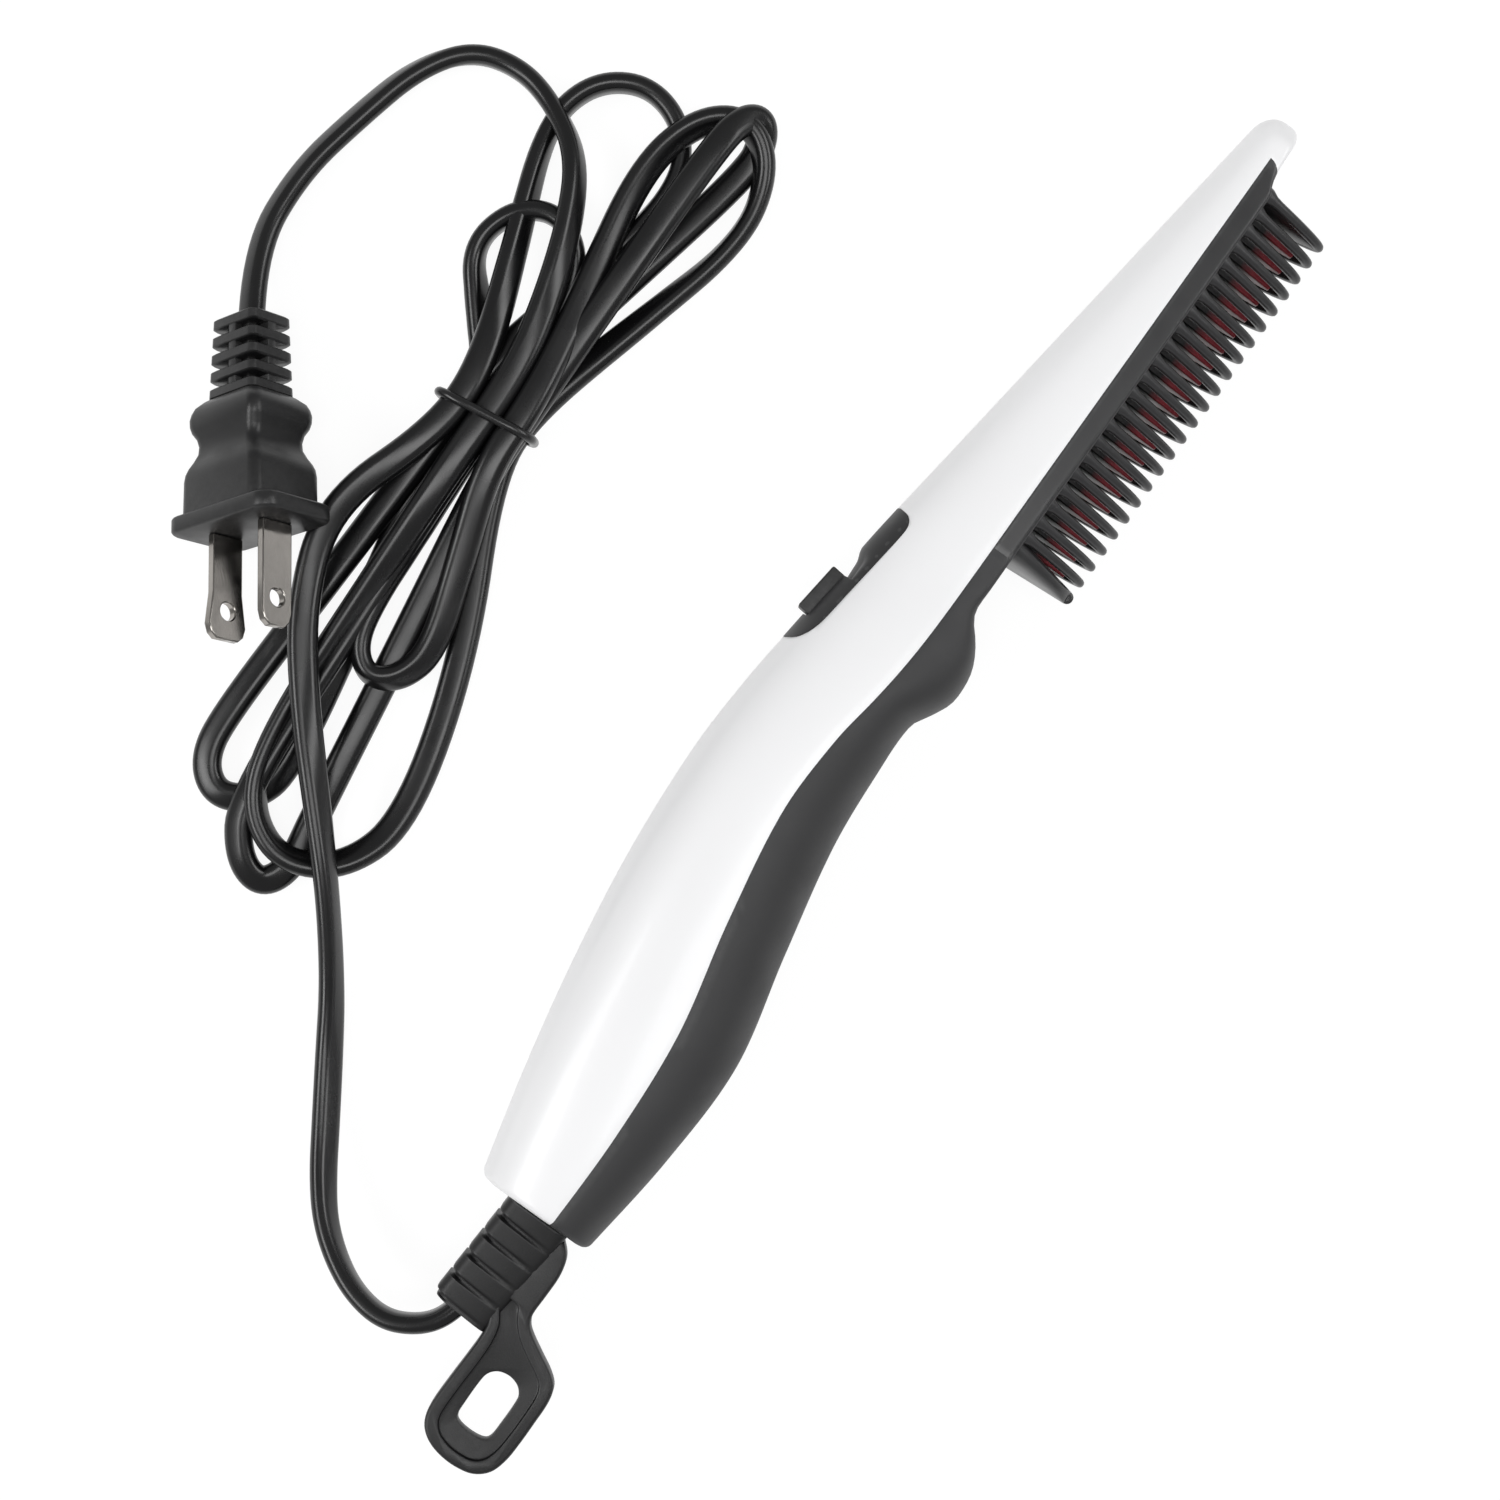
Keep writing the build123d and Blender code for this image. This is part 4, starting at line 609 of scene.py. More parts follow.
def rounded_box(bm: BMesh, low: Sequence[float], high: Sequence[float], radius: float) -> None:
    """Adds a box with rounded edges between two corners."""
    size = [top - bottom for bottom, top in zip(low, high)]
    middle = Vector([(top + bottom) / 2 for bottom, top in zip(low, high)])
    round_edges(bm, edges_of(box(bm, size, middle)), radius)


def linked(name: str, data: ID) -> Object:
    """Makes an object of a mesh, curve, lamp or camera and puts it in the scene."""
    made = bpy.data.objects.new(name, data)
    bpy.context.scene.collection.objects.link(made)
    return made


def finished_mesh(bm: BMesh, name: str) -> Mesh:
    """Turns a mesh in the making into a mesh, and frees it."""
    mesh = bpy.data.meshes.new(name)
    bm.to_mesh(mesh)
    bm.free()
    return mesh


@dataclass
class Piece:
    """A finished piece of the object.

    Attributes:
        name: the object's name.
        slot: the record's material slot and finish.
        nodes: the CAD nodes that it stands for.
        body: the body that it moves with.
        crease: edges sharper than this many degrees stay crisp.
    """

    name: str
    slot: str
    nodes: tuple[str, ...]
    body: Body = Body.HOUSING
    crease: float = 50.0

    def from_bmesh(self, bm: BMesh, palette: Palette) -> Object:
        """Makes the object from a mesh in the making, and places it in the frame.

        Args:
            bm: the mesh, in metres in the row frame.
            palette: the finishes.

        Returns:
            The finished object.
        """
        bmesh.ops.recalc_face_normals(bm, faces=bm.faces[:])
        return self.from_mesh(finished_mesh(bm, self.name), palette)

    def from_mesh(self, mesh: Mesh, palette: Palette) -> Object:
        """Makes the object from a mesh that is already in the row frame.

        Args:
            mesh: the finished mesh.
            palette: the finishes.

        Returns:
            The finished object.
        """
        mesh.shade_smooth()
        mesh.set_sharp_from_angle(angle=math.radians(self.crease))
        piece = linked(self.name, mesh)
        self.dress(piece, palette)
        log.info("%s: %d faces", self.name, len(mesh.polygons))
        return piece

    def joined(self, bm: BMesh, part: Object, palette: Palette) -> Object:
        """Makes the object from a mesh in the making with a finished part in it.

        Args:
            bm: the mesh, in metres in the row frame.
            part: the object that goes into it, and is gone afterwards.
            palette: the finishes.

        Returns:
            The finished object.
        """
        bmesh.ops.recalc_face_normals(bm, faces=bm.faces[:])
        bm.from_mesh(part.data)
        bpy.data.objects.remove(part)
        return self.from_mesh(finished_mesh(bm, self.name), palette)

    def dress(self, piece: Object, palette: Palette) -> None:
        """Gives the object its finish and its body, and hides the CAD nodes that it stands for."""
        piece.data.materials.clear()
        piece.data.materials.append(palette[self.slot])
        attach(piece, self.body.value)
        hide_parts(*self.nodes)


def add_modifier(piece: Object, kind: str, **settings: object) -> None:
    """Adds a modifier with its settings."""
    modifier = piece.modifiers.new(kind.lower(), kind)
    for name, value in settings.items():
        setattr(modifier, name, value)


def apply_modifiers(piece: Object) -> None:
    """Turns a piece's modifiers into its own mesh."""
    depsgraph = bpy.context.evaluated_depsgraph_get()
    mesh = bpy.data.meshes.new_from_object(piece.evaluated_get(depsgraph))
    piece.modifiers.clear()
    piece.data = mesh


def soften(piece: Object, radius: float, angle: float = RIM_ANGLE) -> None:
    """Rounds the edges of a piece, radius in mm, where they are sharper than an angle in degrees."""
    add_modifier(piece, "BEVEL", width=radius * MM, segments=2, limit_method="ANGLE",
                 angle_limit=math.radians(angle), harden_normals=False)


def loose_object(bm: BMesh, name: str) -> Object:
    """Makes a helper object from a mesh in the making; it is removed once it has shaped a piece."""
    return linked(name, finished_mesh(bm, name))


def smooth_step(start: float, end: float, value: float) -> float:
    """0 at start, 1 at end, smooth between; start may be the larger."""
    share = min(1.0, max(0.0, (value - start) / (end - start)))
    return share * share * (3 - 2 * share)


def bezier(t: float, a: float, b: float, c: float, d: float) -> float:
    """A point of a cubic curve."""
    u = 1 - t
    return u ** 3 * a + 3 * u * u * t * b + 3 * u * t * t * c + t ** 3 * d


@dataclass(frozen=True)
class Profile:
    """A smooth curve through rows of (x, value)."""

    rows: tuple[Pair, ...]

    def at(self, x: float) -> float:
        """The value at x: smooth between the rows, level beyond them."""
        rows = self.rows
        if x <= rows[0][0]:
            return rows[0][1]
        for index in range(len(rows) - 1):
            (x0, v0), (x1, v1) = rows[index], rows[index + 1]
            if x <= x1:
                span = x1 - x0
                start = self._slope(index) * span
                end = self._slope(index + 1) * span
                t = (x - x0) / span
                return ((2 * t ** 3 - 3 * t ** 2 + 1) * v0 + (t ** 3 - 2 * t ** 2 + t) * start
                        + (3 * t ** 2 - 2 * t ** 3) * v1 + (t ** 3 - t ** 2) * end)
        return rows[-1][1]

    def _slope(self, index: int) -> float:
        """Slope at one row, from its neighbours."""
        before = self.rows[max(index - 1, 0)]
        after = self.rows[min(index + 1, len(self.rows) - 1)]
        return (after[1] - before[1]) / (after[0] - before[0])


# ---------------------------------------------------------------- housing
@dataclass
class Housing:
    """The two-part housing with the band of its tooth guard.

    The same form gives three patches: the white spine shell, the black grip shell and the band.

    Attributes:
        hump, head_rear, guard_start, band_end: places along the comb, from the butt.
        nose_plan: radius of the nose seen from above.
        end_sweep, sweep_reach: how far the band's nose end is swept back, and from how far away.
        window: start, end and half width of the opening for the heated comb.
        butt_bulge, butt_reach: how far the butt's edges stand back, and over what length.
        band_shares: shares of a quarter section that end the band's side and its corner.
        square_from, square_to: where the section turns into the band's, past hump and head_rear.
        closing, tip_squeeze: sizes of the slices that close the butt and the nose, as shares.
        middle_height: height of the comb's middle plane, metres.
    """

    length: float = 224.78
    wall: float = 2.0
    hump: float = 113.8
    head_rear: float = 128.8
    band_top: float = 3.5
    band_bottom: float = -0.3
    band_end: float = 216.4
    guard_start: float = 136.2
    nose_plan: float = 6.0
    nose_bottom: float = 1.4
    end_sweep: float = 3.4
    sweep_reach: float = 6.0
    butt_radius: float = 1.1
    around: int = 72
    window: Triple = (139.4, 209.7, 5.9)
    upper_fullness: float = 0.60
    butt_bulge: float = 1.5
    butt_reach: float = 9.0
    band_corner: float = 0.8
    band_shares: Pair = (0.35, 0.6)
    square_from: float = 8.0
    square_to: float = 3.0
    closing: Pair = (0.3, 0.65)
    butt_slices: int = 4
    handle_slices: int = 100
    head_slices: int = 66
    nose_slices: int = 12
    tip_squeeze: float = 0.002
    middle_height: float = 0.014
    rim: float = 0.22
    spine: Profile = Profile(((0, 12.3), (20, 17.1), (40, 21.0), (60, 23.8), (80, 25.05), (94.5, 24.5),
                              (104.3, 23.55), (111.3, 22.8), (118.3, 21.98), (128.8, 20.9), (150, 18.1),
                              (224.79, 8.2)))
    seam: Profile = Profile(((0, -2.1), (20, -2.2), (40, -0.8), (60, 3.4), (80, 6.6), (94.5, 6.3),
                             (104.3, 4.9), (111.3, 4.1), (118.3, 3.68), (128.8, 3.5), (150, 3.5),
                             (224.79, 3.5)))
    belly: Profile = Profile(((0, -9.9), (20, -12.2), (40, -12.6), (60, -8.3), (80, -4.3), (94.5, -3.1),
                              (104.3, -3.0), (107.8, -4.8), (111.3, -6.4), (114.8, -6.6), (118.3, -5.9),
                              (121.8, -3.9), (125.3, -0.9), (128.8, -0.3), (150, -0.3), (210.5, -0.3),
                              (212.6, -0.15), (214.8, 0.7), (217.5, 1.2), (224.79, 1.45)))
    half: Profile = Profile(((0, 11.2), (20, 12.9), (40, 13.7), (60, 14.0), (80, 14.0), (94.5, 13.7),
                             (104.3, 13.3), (118.3, 12.3), (128.8, 11.4), (150, 10.87), (224.79, 9.0)))
    lower_fullness: Profile = Profile(((0, 0.62), (104.3, 0.62), (128.8, 0.93), (224.79, 0.93)))

    def outline(self, x: float, turn: float) -> Pair:
        """A point of the section at x.

        Args:
            x: place along the comb.
            turn: 0 at the seam on the +Z side, 0.25 at the spine, 0.75 at the belly.

        Returns:
            Its height and its depth.
        """
        seam, half = self.seam.at(x), self.half.at(x)
        quarter, share = divmod(turn * 4, 1.0)
        upper = quarter in (0, 1)
        end = self.spine.at(x) if upper else self.belly.at(x)
        fullness = self.upper_fullness if upper else self.lower_fullness.at(x)
        if quarter in (1, 3):
            share = 1 - share
        side = -1 if quarter in (1, 2) else 1
        y = bezier(share, seam, seam + fullness * (end - seam), end, end)
        z = bezier(share, half, half, fullness * half, 0.0)
        square = 0.0 if upper else smooth_step(self.hump + self.square_from,
                                                    self.head_rear + self.square_to, x)
        if square > 0:
            band_y, band_z = self._band_corner(share, seam, end, half)
            y, z = y + (band_y - y) * square, z + (band_z - z) * square
        return y, side * z

    def _band_corner(self, share: float, seam: float, end: float, half: float) -> Pair:
        """A point of the band's flat side, its small corner and its floor, in that order."""
        radius = self.band_corner
        flat_end, corner_end = self.band_shares
        if share < flat_end:
            return seam + (end + radius - seam) * share / flat_end, half
        if share < corner_end:
            turn = math.pi / 2 * (share - flat_end) / (corner_end - flat_end)
            return end + radius * (1 - math.sin(turn)), half - radius * (1 - math.cos(turn))
        return end, (half - radius) * (1 - share) / (1 - corner_end)

    @property
    def nose_radius(self) -> float:
        """Radius of the nose seen from the side."""
        return (self.spine.at(self.length - self.nose_plan) - self.nose_bottom) / 2

    @property
    def nose_height(self) -> float:
        """Height of the middle of the nose."""
        return self.nose_bottom + self.nose_radius

    def slices(self) -> list[Quad]:
        """The form's slices from the butt's face to the tip of the nose.

        Returns:
            For each slice its x, its squeezes in height and depth, and the height it is squeezed to.
        """
        butt_height = (self.spine.at(0) + self.belly.at(0)) / 2
        rows = [(0.0, share, share, butt_height) for share in self.closing]
        for step in range(self.butt_slices + 1):
            angle = math.pi / 2 * step / self.butt_slices
            inset = self.butt_radius * (1 - math.sin(angle))
            squeeze = 1 - inset / self.half.at(0)
            rows.append((self.butt_radius * (1 - math.cos(angle)), squeeze, squeeze, butt_height))
        for start, end, count in ((self.butt_radius, self.guard_start, self.handle_slices),
                                  (self.guard_start, self.band_end, self.head_slices)):
            rows += [(start + (end - start) * (step + 1) / count, 1.0, 1.0, 0.0) for step in range(count)]
        for step in range(1, self.nose_slices + 1):
            angle = math.pi / 2 * step / self.nose_slices
            x = self.band_end + (self.length - self.band_end) * math.sin(angle)
            rows.append((x, self._nose_squeeze(x, self.nose_radius), self._nose_squeeze(x, self.nose_plan),
                         self.nose_height))
        return rows

    def _nose_squeeze(self, x: float, radius: float) -> float:
        """How far a slice of the nose is drawn in."""
        past = max(0.0, x - (self.length - radius)) / radius
        return math.sqrt(max(0.0, 1 - past ** 2)) if past < 1 else self.tip_squeeze

    def _swept(self, x: float, y: float, turn: float) -> float:
        """How far the band's nose end is swept back at a height, fading out on both sides of it."""
        if turn < SEAM_TURN:
            return 0.0
        reach = self.sweep_reach if x < self.band_end else self.length - self.band_end
        low = min(1.0, max(0.0, (self.band_top - y) / (self.band_top - self.band_bottom)))
        return self.end_sweep * low ** 2 * smooth_step(reach, 0.0, abs(x - self.band_end))

    def patch(self, place: CombFrame, keep: Callable[[float, float, float], bool]) -> BMesh:
        """Builds the part of the housing's surface that belongs to one piece.

        Args:
            place: the comb's frame.
            keep: says for a face's middle (x, turn, z) whether it belongs to the piece.

        Returns:
            The open surface, in metres.
        """
        rows = self.slices()
        bm = bmesh.new()
        bmesh.ops.create_grid(bm, x_segments=len(rows) - 1, y_segments=self.around, size=1.0)
        flat = {vert: ((vert.co.x + 1) / 2 * (len(rows) - 1), (vert.co.y + 1) / 2) for vert in bm.verts}
        dropped = []
        for vert, (row, turn) in flat.items():
            x, squeeze_y, squeeze_z, centre = rows[round(row)]
            y, z = self.outline(min(x, self.length), turn % 1.0)
            y, z = centre + (y - centre) * squeeze_y, z * squeeze_z
            fade = smooth_step(self.butt_reach, 0.0, x)
            x += self.butt_bulge * fade * (z / self.half.at(x)) ** 2
            vert.co = Vector((x - self._swept(x, y, turn), y, z))
        for face in bm.faces:
            row = sum(flat[vert][0] for vert in face.verts) / 4
            turn = sum(flat[vert][1] for vert in face.verts) / 4
            middle = face.calc_center_median()
            if not keep(row_x(rows, row), turn, middle.z):
                dropped.append(face)
        bmesh.ops.delete(bm, geom=dropped, context="FACES")
        bmesh.ops.remove_doubles(bm, verts=bm.verts[:], dist=SAME_PLACE)
        bmesh.ops.recalc_face_normals(bm, faces=bm.faces[:])
        place.settle(bm)
        return bm

    def finish_patch(self, bm: BMesh, piece: Piece, palette: Palette) -> Object:
        """Gives a patch its wall and soft rims.

        Args:
            bm: the open surface.
            piece: what it becomes.
            palette: the finishes.

        Returns:
            The finished piece.
        """
        made = piece.from_bmesh(bm, palette)
        outwards = sum(math.copysign(1.0, face.center.z - self.middle_height) * face.normal.z
                       for face in made.data.polygons)
        if outwards < 0:
            made.data.flip_normals()
        add_modifier(made, "SOLIDIFY", thickness=self.wall * MM, offset=-1.0, use_even_offset=True)
        soften(made, self.rim)
        return made


def row_x(rows: Sequence[Quad], row: float) -> float:
    """The x between two rows of slices."""
    low = int(row)
    high = min(low + 1, len(rows) - 1)
    return rows[low][0] + (rows[high][0] - rows[low][0]) * (row - low)


@dataclass
class SwitchPlate:
    """The saddle over the spine that carries the slide switch, and the switch's knob.

    Attributes:
        proud, gap: how far the plate stands out of the shell, and its gap in the opening.
        knob_rear: rear end of the knob at rest.
        knob_proud, knob_base: the knob's top and foot over the spine.
        track_ends: how far the track starts behind the knob, and ends short of its front.
        track_wall: where the track's sides start and end, outside the knob's.
        scoop, scoop_spread, scoop_gap: its depths, and where its sides fade out and start.
        least_side: the highest turn of the section that the plate's edge reaches.
        opening_top, opening_half: height and half depth of the cut through the shell.
    """

    housing: Housing
    rear: float = 104.3
    front: float = 133.3
    thickness: float = 1.3
    proud: float = 0.05
    gap: float = 0.08
    knob_rear: float = 109.7
    knob_length: float = 9.0
    knob_width: float = 7.0
    knob_proud: float = 1.6
    knob_base: float = -0.82
    knob_edge: float = 0.35
    track_depth: float = 0.95
    track_ends: Pair = (0.25, 0.1)
    track_wall: Pair = (0.5, 0.25)
    scoop_spread: float = 3.4
    scoop_gap: float = 0.4
    least_side: float = 0.246
    opening_steps: int = 60
    opening_top: float = 40.0
    opening_half: float = 30.0
    rim: float = 0.12
    along: int = 174
    across: int = 90
    scoop: Profile = Profile(((0.0, 1.5), (1.7, 1.22), (3.4, 0.94), (4.2, 0.6), (5.0, 0.22), (5.8, 0.0)))
    lower_edge: Profile = Profile(((104.3, 23.3), (105.0, 22.0), (106.2, 21.0), (108.0, 20.15),
                                   (110.2, 19.6), (116.0, 18.85), (123.0, 17.95), (129.0, 17.2),
                                   (131.0, 17.15), (132.2, 17.6), (132.9, 18.4), (133.3, 19.8)))

    @property
    def knob_middle(self) -> float:
        """Middle of the knob at rest."""
        return self.knob_rear + self.knob_length / 2

    def dip(self, x: float, z: float) -> float:
        """How far the plate is sunk at a place: the knob's track, and the scoop ahead of it."""
        behind, short = self.track_ends
        front = self.knob_rear + self.knob_length - short
        half = self.knob_width / 2
        if self.knob_rear - behind < x <= front:
            outer, inner = self.track_wall
            return self.track_depth * smooth_step(half + outer, half + inner, abs(z))
        if front < x < front + self.scoop.rows[-1][0]:
            side = smooth_step(half + self.scoop_spread, half + self.scoop_gap, abs(z))
            return self.scoop.at(x - front) * side
        return 0.0

    def low_turn(self, x: float) -> float:
        """Where the plate's lower edge meets the section at x."""
        target = self.lower_edge.at(x)
        low, high = 0.0, SPINE_TURN
        for _ in range(HALVINGS):
            middle = (low + high) / 2
            if self.housing.outline(x, middle)[0] < target:
                low = middle
            else:
                high = middle
        return min(low, self.least_side)

    def cut_shell(self, shell: Object, place: CombFrame) -> None:
        """Cuts the plate's opening, a hair wider than the plate, through the shell.

        Args:
            shell: the white spine shell.
            place: the comb's frame.
        """
        bm = bmesh.new()
        steps, half = self.opening_steps, self.opening_half
        xs = [self.rear + (self.front - self.rear) * step / steps for step in range(steps + 1)]
        points = [(x, self.lower_edge.at(x) - self.gap) for x in xs]
        points += [(self.front + self.gap, self.lower_edge.at(self.front)),
                   (self.front + self.gap, self.opening_top), (self.rear - self.gap, self.opening_top)]
        bm.faces.new([bm.verts.new((x, y, -half)) for x, y in points])
        thicken(bm, (0, 0, 2 * half))
        place.settle(bm)
        bmesh.ops.recalc_face_normals(bm, faces=bm.faces[:])
        cutter = loose_object(bm, "plate_opening")
        add_modifier(shell, "BOOLEAN", object=cutter, operation="DIFFERENCE", solver="EXACT", use_self=True)
        apply_modifiers(shell)
        bpy.data.objects.remove(cutter)

    def build(self, place: CombFrame, palette: Palette) -> Object:
        """Builds the plate.

        Args:
            place: the comb's frame.
            palette: the finishes.

        Returns:
            The finished plate.
        """
        bm = bmesh.new()
        bmesh.ops.create_grid(bm, x_segments=self.along, y_segments=self.across, size=1.0)
        for vert in bm.verts:
            x = self.rear + (self.front - self.rear) * (vert.co.x + 1) / 2
            low = self.low_turn(x)
            turn = low + (SEAM_TURN - 2 * low) * (vert.co.y + 1) / 2
            y, z = self.housing.outline(x, turn)
            centre = self.housing.seam.at(x)
            lift = 1 + self.proud / max(y - centre, 1.0)
            vert.co = Vector((x, centre + (y - centre) * lift - self.dip(x, z), z * lift))
        place.settle(bm)
        piece = Piece("switch_plate_saddle", "plate_black", ("switch_plate",))
        made = piece.from_bmesh(bm, palette)
        if sum(face.normal.y for face in made.data.polygons) < 0:
            made.data.flip_normals()
        add_modifier(made, "SOLIDIFY", thickness=self.thickness * MM, offset=-1.0)
        soften(made, self.rim)
        return made

    def build_knob(self, place: CombFrame, palette: Palette) -> Object:
        """Builds the knob, tilted to follow the spine, with its upper edges rounded.

        Args:
            place: the comb's frame.
            palette: the finishes.

        Returns:
            The finished knob.
        """
        bm = bmesh.new()
        height = self.knob_proud - self.knob_base
        box(bm, (self.knob_length, height, self.knob_width), (0, self.knob_base + height / 2, 0))
        upper = [edge for edge in bm.edges if max(vert.co.y for vert in edge.verts) > 0]
        round_edges(bm, upper, self.knob_edge, 3)
        spine = self.housing.spine
        rise = spine.at(self.knob_rear + self.knob_length) - spine.at(self.knob_rear)
        turn = Matrix.Rotation(math.atan2(rise, self.knob_length), 3, "Z")
        bmesh.ops.rotate(bm, matrix=turn, verts=bm.verts[:])
        bmesh.ops.translate(bm, vec=(self.knob_middle, spine.at(self.knob_middle), 0.0), verts=bm.verts[:])
        place.settle(bm)
        piece = Piece("switch_knob", "knob_black", ("slider_knob",), Body.SLIDER, 35.0)
        return piece.from_bmesh(bm, palette)


# ---------------------------------------------------------------- teeth
@dataclass
class ToothRow:
    """The guard's arched teeth and the heated comb behind them.

    Attributes:
        first, pitch, count: middle of the first tooth, the spacing and the number of teeth.
        tip, leg_root: heights of the teeth's tips and roots.
        root_flare, flare_reach, flare_drop: how much wider the roots are, and how that ends.
        shoulder: height where a leg starts to curve in, and how far in that is.
        tip_reach: depth at which the curve levels out into the tip.
        wall_widths: heights and widths of a closed tooth.
        wall_least, wall_draw, wall_power: its least half depth, and how its tip draws in.
        wall_cap: shares of its last ring, and their drops, that round its tip off.
        rear_wall, front_wall: root's shift, share of the width, inset and lean.
        base_gap: gaps round the fins' base in the window, along and across the comb.
    """

    housing: Housing
    first: float = 137.7
    pitch: float = 3.345
    count: int = 23
    tip: float = -13.1
    root_width: float = 1.65
    middle_width: float = 1.7
    tip_width: float = 1.5
    root_flare: float = 1.2
    flare_reach: float = 0.7
    flare_drop: float = 0.9
    shoulder: Pair = (-4.5, 2.6)
    tip_reach: float = 1.9
    fullness: float = 2.4
    leg_thickness: float = 2.0
    tip_thickness: float = 2.0
    leg_root: float = 0.9
    rings_per_leg: int = 17
    around: int = 16
    wall_widths: tuple[Pair, ...] = ((0.9, 4.7), (-4.0, 3.7), (-9.0, 2.75), (-12.2, 2.3))
    wall_steps: int = 26
    wall_around: int = 24
    wall_least: float = 0.35
    wall_draw: float = 0.9
    wall_power: int = 6
    wall_fullness: float = 2.8
    wall_cap: tuple[Pair, ...] = ((0.86, 0.45), (0.6, 0.8), (0.25, 0.98))
    rear_wall: Quad = (0.9, 1.0, 0.0, -0.9)
    front_wall: Quad = (-0.25, 0.62, 0.9, 0.25)
    fin_end: float = -9.5
    fin_half: float = 1.1
    fin_root: float = 4.6
    fin_tip: float = 0.7
    fin_edge: float = 0.22
    fin_taper: float = 0.84
    base_gap: Pair = (0.25, 0.6)
    base_edge: float = 0.2
    base_low: float = 1.75
    base_height: float = 2.2

    def spots(self) -> list[float]:
        """Middles of the teeth along the comb."""
        return [self.first + index * self.pitch for index in range(self.count)]

    def root_middle(self, x: float) -> float:
        """Depth of a tooth's middle line where it leaves the band."""
        return self.housing.half.at(x) - self.leg_thickness / 2

    def down(self, y: float) -> float:
        """How far a height lies from the roots to the tips, as a share."""
        return (self.leg_root - y) / (self.leg_root - self.tip)

    def centreline(self, share: float, root: float) -> Quad:
        """The arch's middle line.

        Args:
            share: 0 at one root, 0.5 at the tip, 1 at the other root.
            root: depth of the middle line at its root.

        Returns:
            Height, depth, and the direction of the line there.
        """
        t = share * 2 if share <= 0.5 else (1 - share) * 2
        foot = self.tip + self.tip_thickness / 2
        low, come_in = self.shoulder
        ys = (self.leg_root, low, foot, foot)
        zs = (root, root - come_in, self.tip_reach, 0.0)
        y, z = bezier(t, *ys), bezier(t, *zs)
        u = 1 - t
        dy = 3 * (u * u * (ys[1] - ys[0]) + 2 * u * t * (ys[2] - ys[1]) + t * t * (ys[3] - ys[2]))
        dz = 3 * (u * u * (zs[1] - zs[0]) + 2 * u * t * (zs[2] - zs[1]) + t * t * (zs[3] - zs[2]))
        length = math.hypot(dy, dz)
        dy, dz = dy / length, dz / length
        return (y, z, dy, dz) if share <= 0.5 else (y, -z, -dy, dz)

    def tooth(self, x: float) -> list[list[Vector]]:
        """The rings of one arched tooth.

        Args:
            x: its middle along the comb.

        Returns:
            The rings from one root to the other, in the side view.
        """
        widths = Profile(((0.0, self.root_width), (0.5, self.middle_width), (1.0, self.tip_width)))
        root = self.root_middle(x)
        rings = []
        total = 2 * self.rings_per_leg
        for index in range(total + 1):
            share = index / total
            y, z, dy, dz = self.centreline(share, root)
            down = min(1.0, max(0.0, self.down(y)))
            below = max(0.0, self.leg_root - self.flare_drop - y)
            width = widths.at(down) + self.root_flare * math.exp(-below / self.flare_reach)
            thick = self.leg_thickness + (self.tip_thickness - self.leg_thickness) * down
            section = superellipse(width, thick, self.fullness, self.around)
            rings.append([Vector((x + a, y - dz * b, z + dy * b)) for a, b in section])
        return rings

    def wall(self, x: float, share: float, inset: float, lean: float) -> list[list[Vector]]:
        """The rings of a closed end tooth, stacked from its root to its tip.

        Args:
            x: middle of its root along the comb.
            share: its width as a share of the full one.
            inset: how far it stays inside an open tooth's outer face.
            lean: how far its tip lies ahead of its root.

        Returns:
            The rings in the side view.
        """
        root = self.root_middle(x)
        rows = []
        steps = self.wall_steps
        for index in range(steps + 1):
            y, z, _, _ = self.centreline(0.5 * index / steps, root)
            drawn = self.wall_draw * (index / steps) ** self.wall_power
            rows.append((y, max(self.wall_least, z + self.leg_thickness / 2 - inset - drawn)))
        widths = Profile(tuple((-height, width * share) for height, width in self.wall_widths))
        rings = []
        for y, outer in rows:
            width = widths.at(-y)
            middle = x + lean * min(1.0, self.down(y))
            section = superellipse(width, 2 * outer, self.wall_fullness, self.wall_around)
            rings.append([Vector((middle + a, y, b)) for a, b in section])
        end = rings[-1]
        centre = sum(end, Vector()) / len(end)
        for shrink, drop in self.wall_cap:
            drops = Vector((0.0, drop, 0.0))
            shares = Vector((shrink, 0.0, shrink))
            rings.append([centre + shares * (point - centre) - drops for point in end])
        return rings

    def build_guard(self, place: CombFrame, palette: Palette) -> Object:
        """Builds the band with its teeth as one moulding.

        Args:
            place: the comb's frame.
            palette: the finishes.

        Returns:
            The finished piece.
        """
        rear, front, window_half = self.housing.window

        def keep(x: float, turn: float, z: float) -> bool:
            """The band: below the seam between its ends, without its window."""
            if turn < SEAM_TURN or not self.housing.guard_start < x < self.housing.band_end:
                return False
            return not (rear < x < front and abs(z) < window_half)

        band_piece = Piece("tooth_guard_band", "guard_black", ("tooth_guard",))
        band = self.housing.finish_patch(self.housing.patch(place, keep), band_piece, palette)
        apply_modifiers(band)
        bm = bmesh.new()
        for x in self.spots()[1:]:
            skin(bm, self.tooth(x))
        for spot, (shift, *form) in ((self.spots()[0], self.rear_wall), (self.spots()[-1], self.front_wall)):
            skin(bm, self.wall(spot + shift, *form))
        place.settle(bm)
        return Piece("tooth_guard_moulding", "guard_black", ("tooth_guard",)).joined(bm, band, palette)

